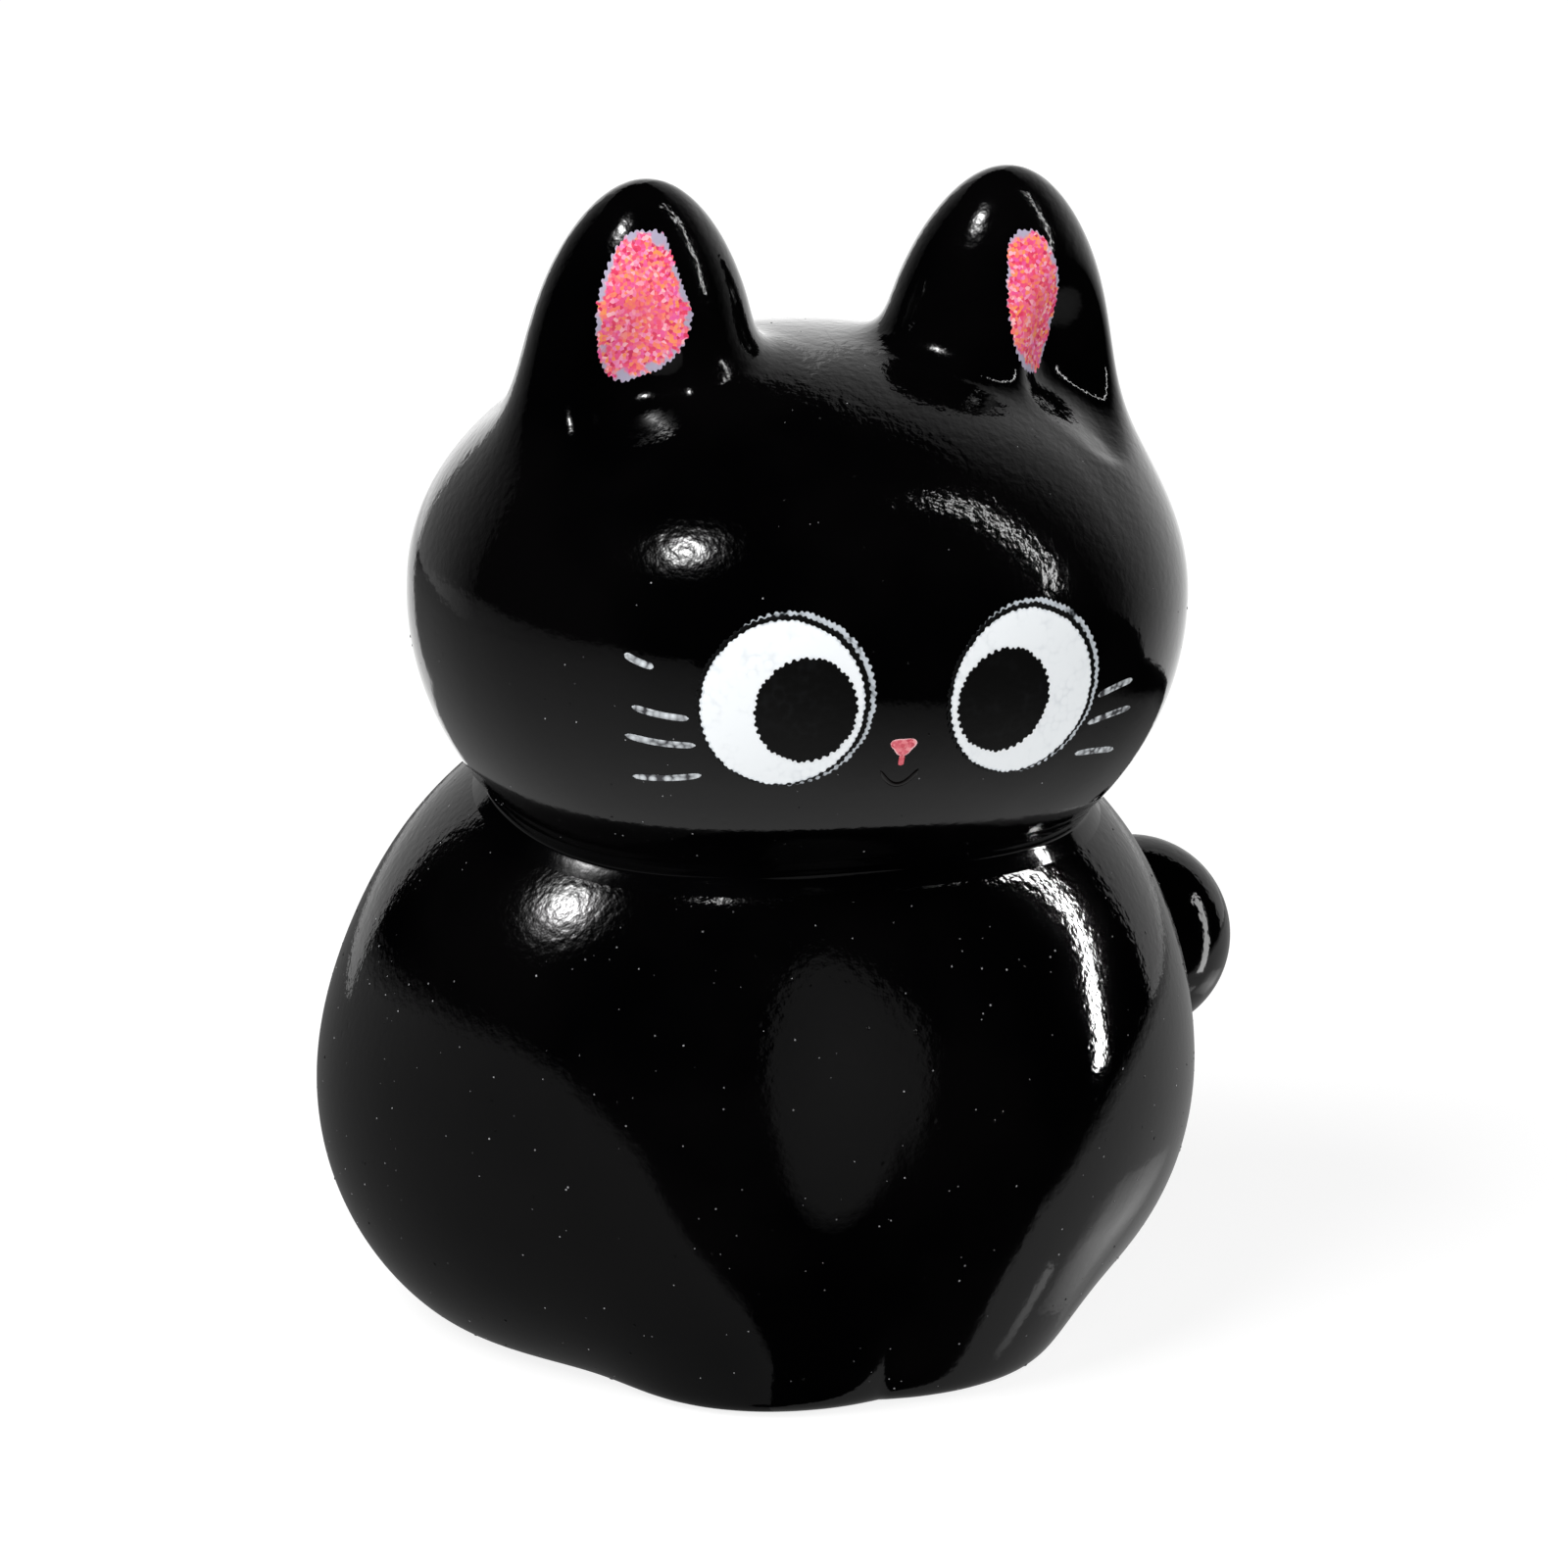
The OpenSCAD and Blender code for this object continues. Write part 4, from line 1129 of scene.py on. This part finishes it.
# An oval, from its faded rim in to its middle.
band_card("chest_card", ON_BODY, [[(4 + size * 20 * math.cos(a), 9 + size * 39 * math.sin(a), glow)
                                   for a in np.linspace(0, 2 * np.pi, 41)]
                                  for size, glow in ((1.06, 0.0), (0.9, 0.15), (0.01, 0.19))])

# %% [markdown]
# ### Soft boxes and strips
# A soft box is brightest in its middle and fades outwards, so its reflection has a hot core and
# a halo. A strip is a narrow band. Both only make reflections. The prints get their light from
# plain area lights at the same places, which the glaze doesn't show.

# %% Glowing discs and strips
def soft_box_card(name, seen_on, azimuth, elevation, radius, core, falloff):
    """A disc of this many degrees' radius, as bright as core in its middle."""
    heart, pieces = seen_on
    size = CARDS_AWAY * math.tan(math.radians(radius))

    def fading(tree):
        off = add(tree, "ShaderNodeVectorMath", {0: object_place(tree)}, operation="LENGTH")
        parts_out = sums(tree, "DIVIDE", off.outputs["Value"], size)
        near = sums(tree, "SUBTRACT", 1.0, parts_out, clamp=True)
        return times(tree, sums(tree, "POWER", near, falloff), core)

    rim = [(size * math.cos(a), size * math.sin(a), 0) for a in np.linspace(0, 2 * np.pi, 49)[:-1]]
    card = stage_mesh(name, rim, [tuple(range(48))], clear_glow(name, fading))
    card.location = heart + toward(azimuth, elevation) * CARDS_AWAY
    card.rotation_euler = toward(azimuth, elevation).to_track_quat("Z", "Y").to_euler()
    only_reflected_by(card, pieces)
    return card


soft_box_card("head_soft_box", ON_HEAD, -37, 50, radius=26, core=80.0, falloff=12.0)
soft_box_card("body_soft_box", ON_BODY, -105, 45, radius=24, core=60.0, falloff=8.0)
# Each strip's name, what it is seen on, its width, its glow and its line.
STRIPS = [("head_strip", ON_HEAD, 1.9, 15.0, [(56, 56), (59, 48), (58, 34), (57.5, 20), (55, 11)]),
          ("body_strip", ON_TORSO, 4.5, 30.0, [(86, 45), (92, 33), (89, 20), (80, 4), (79, -11)]),
          ("tail_strip", ON_TAIL, 9.0, 5.0, [(84, 26), (83, 16), (79, 4), (77, -12), (77, -30)])]
for name, seen_on, wide, glow, line in STRIPS:
    band_card(name, seen_on, [[(a + half, e, glow) for a, e in line] for half in (-wide / 2, wide / 2)])

# %% [markdown]
# ## Lights on the prints
# A soft box high at the cat's right, a weaker one at its left and a broad fill from the front.

# %% Lights
LIT_POINT = Vector((0, 0, 0.014))


def area_light(name, azimuth, elevation, distance, size, radiance):
    data = bpy.data.lights.new(name, "AREA")
    data.shape, data.size = "SQUARE", size
    data.energy = radiance * math.pi * size * size
    light = new_object(name, data)
    way = toward(azimuth, elevation)
    light.location = LIT_POINT + way * distance
    light.rotation_euler = way.to_track_quat("Z", "Y").to_euler()
    light.visible_camera = light.visible_glossy = False


area_light("soft_box", -70, 52, distance=0.4, size=0.22, radiance=12.0)
area_light("side_light", 70, 30, distance=0.4, size=0.2, radiance=3.0)
area_light("front_fill", -10, 25, distance=0.5, size=0.4, radiance=1.6)

# %% World
world = bpy.data.worlds.new("studio")
bpy.context.scene.world = world
world.use_nodes = True
background = world.node_tree.nodes["Background"]
background.inputs["Color"].default_value = (1, 1, 1, 1)
background.inputs["Strength"].default_value = 1.0
world.cycles_visibility.glossy = world.cycles_visibility.diffuse = False

# %% [markdown]
# ## Camera
# A long lens a quarter of a metre away, a little to the cat's right and a little above.

# %% Camera
CAMERA_AZ, CAMERA_EL, CAMERA_AWAY = -19.69, 18.63, 0.25
AIM_HEIGHT, AIM_RIGHT, AIM_DOWN = 12.0, 0.096, 0.596
back = toward(CAMERA_AZ, CAMERA_EL)
right = Vector((0, 0, 1)).cross(back).normalized()
up = back.cross(right)
aim = (Vector((0, 0, AIM_HEIGHT)) + right * AIM_RIGHT - up * AIM_DOWN) * MM
camera_data = bpy.data.cameras.new("camera")
camera_data.sensor_width, camera_data.lens = 36.0, 281.25
camera_data.clip_start, camera_data.clip_end = 0.01, 10.0
camera = new_object("camera", camera_data)
camera.location = aim + back * CAMERA_AWAY
camera.rotation_euler = back.to_track_quat("Z", "Y").to_euler()
bpy.context.scene.camera = camera
bpy.context.scene.view_settings.view_transform = "Standard"
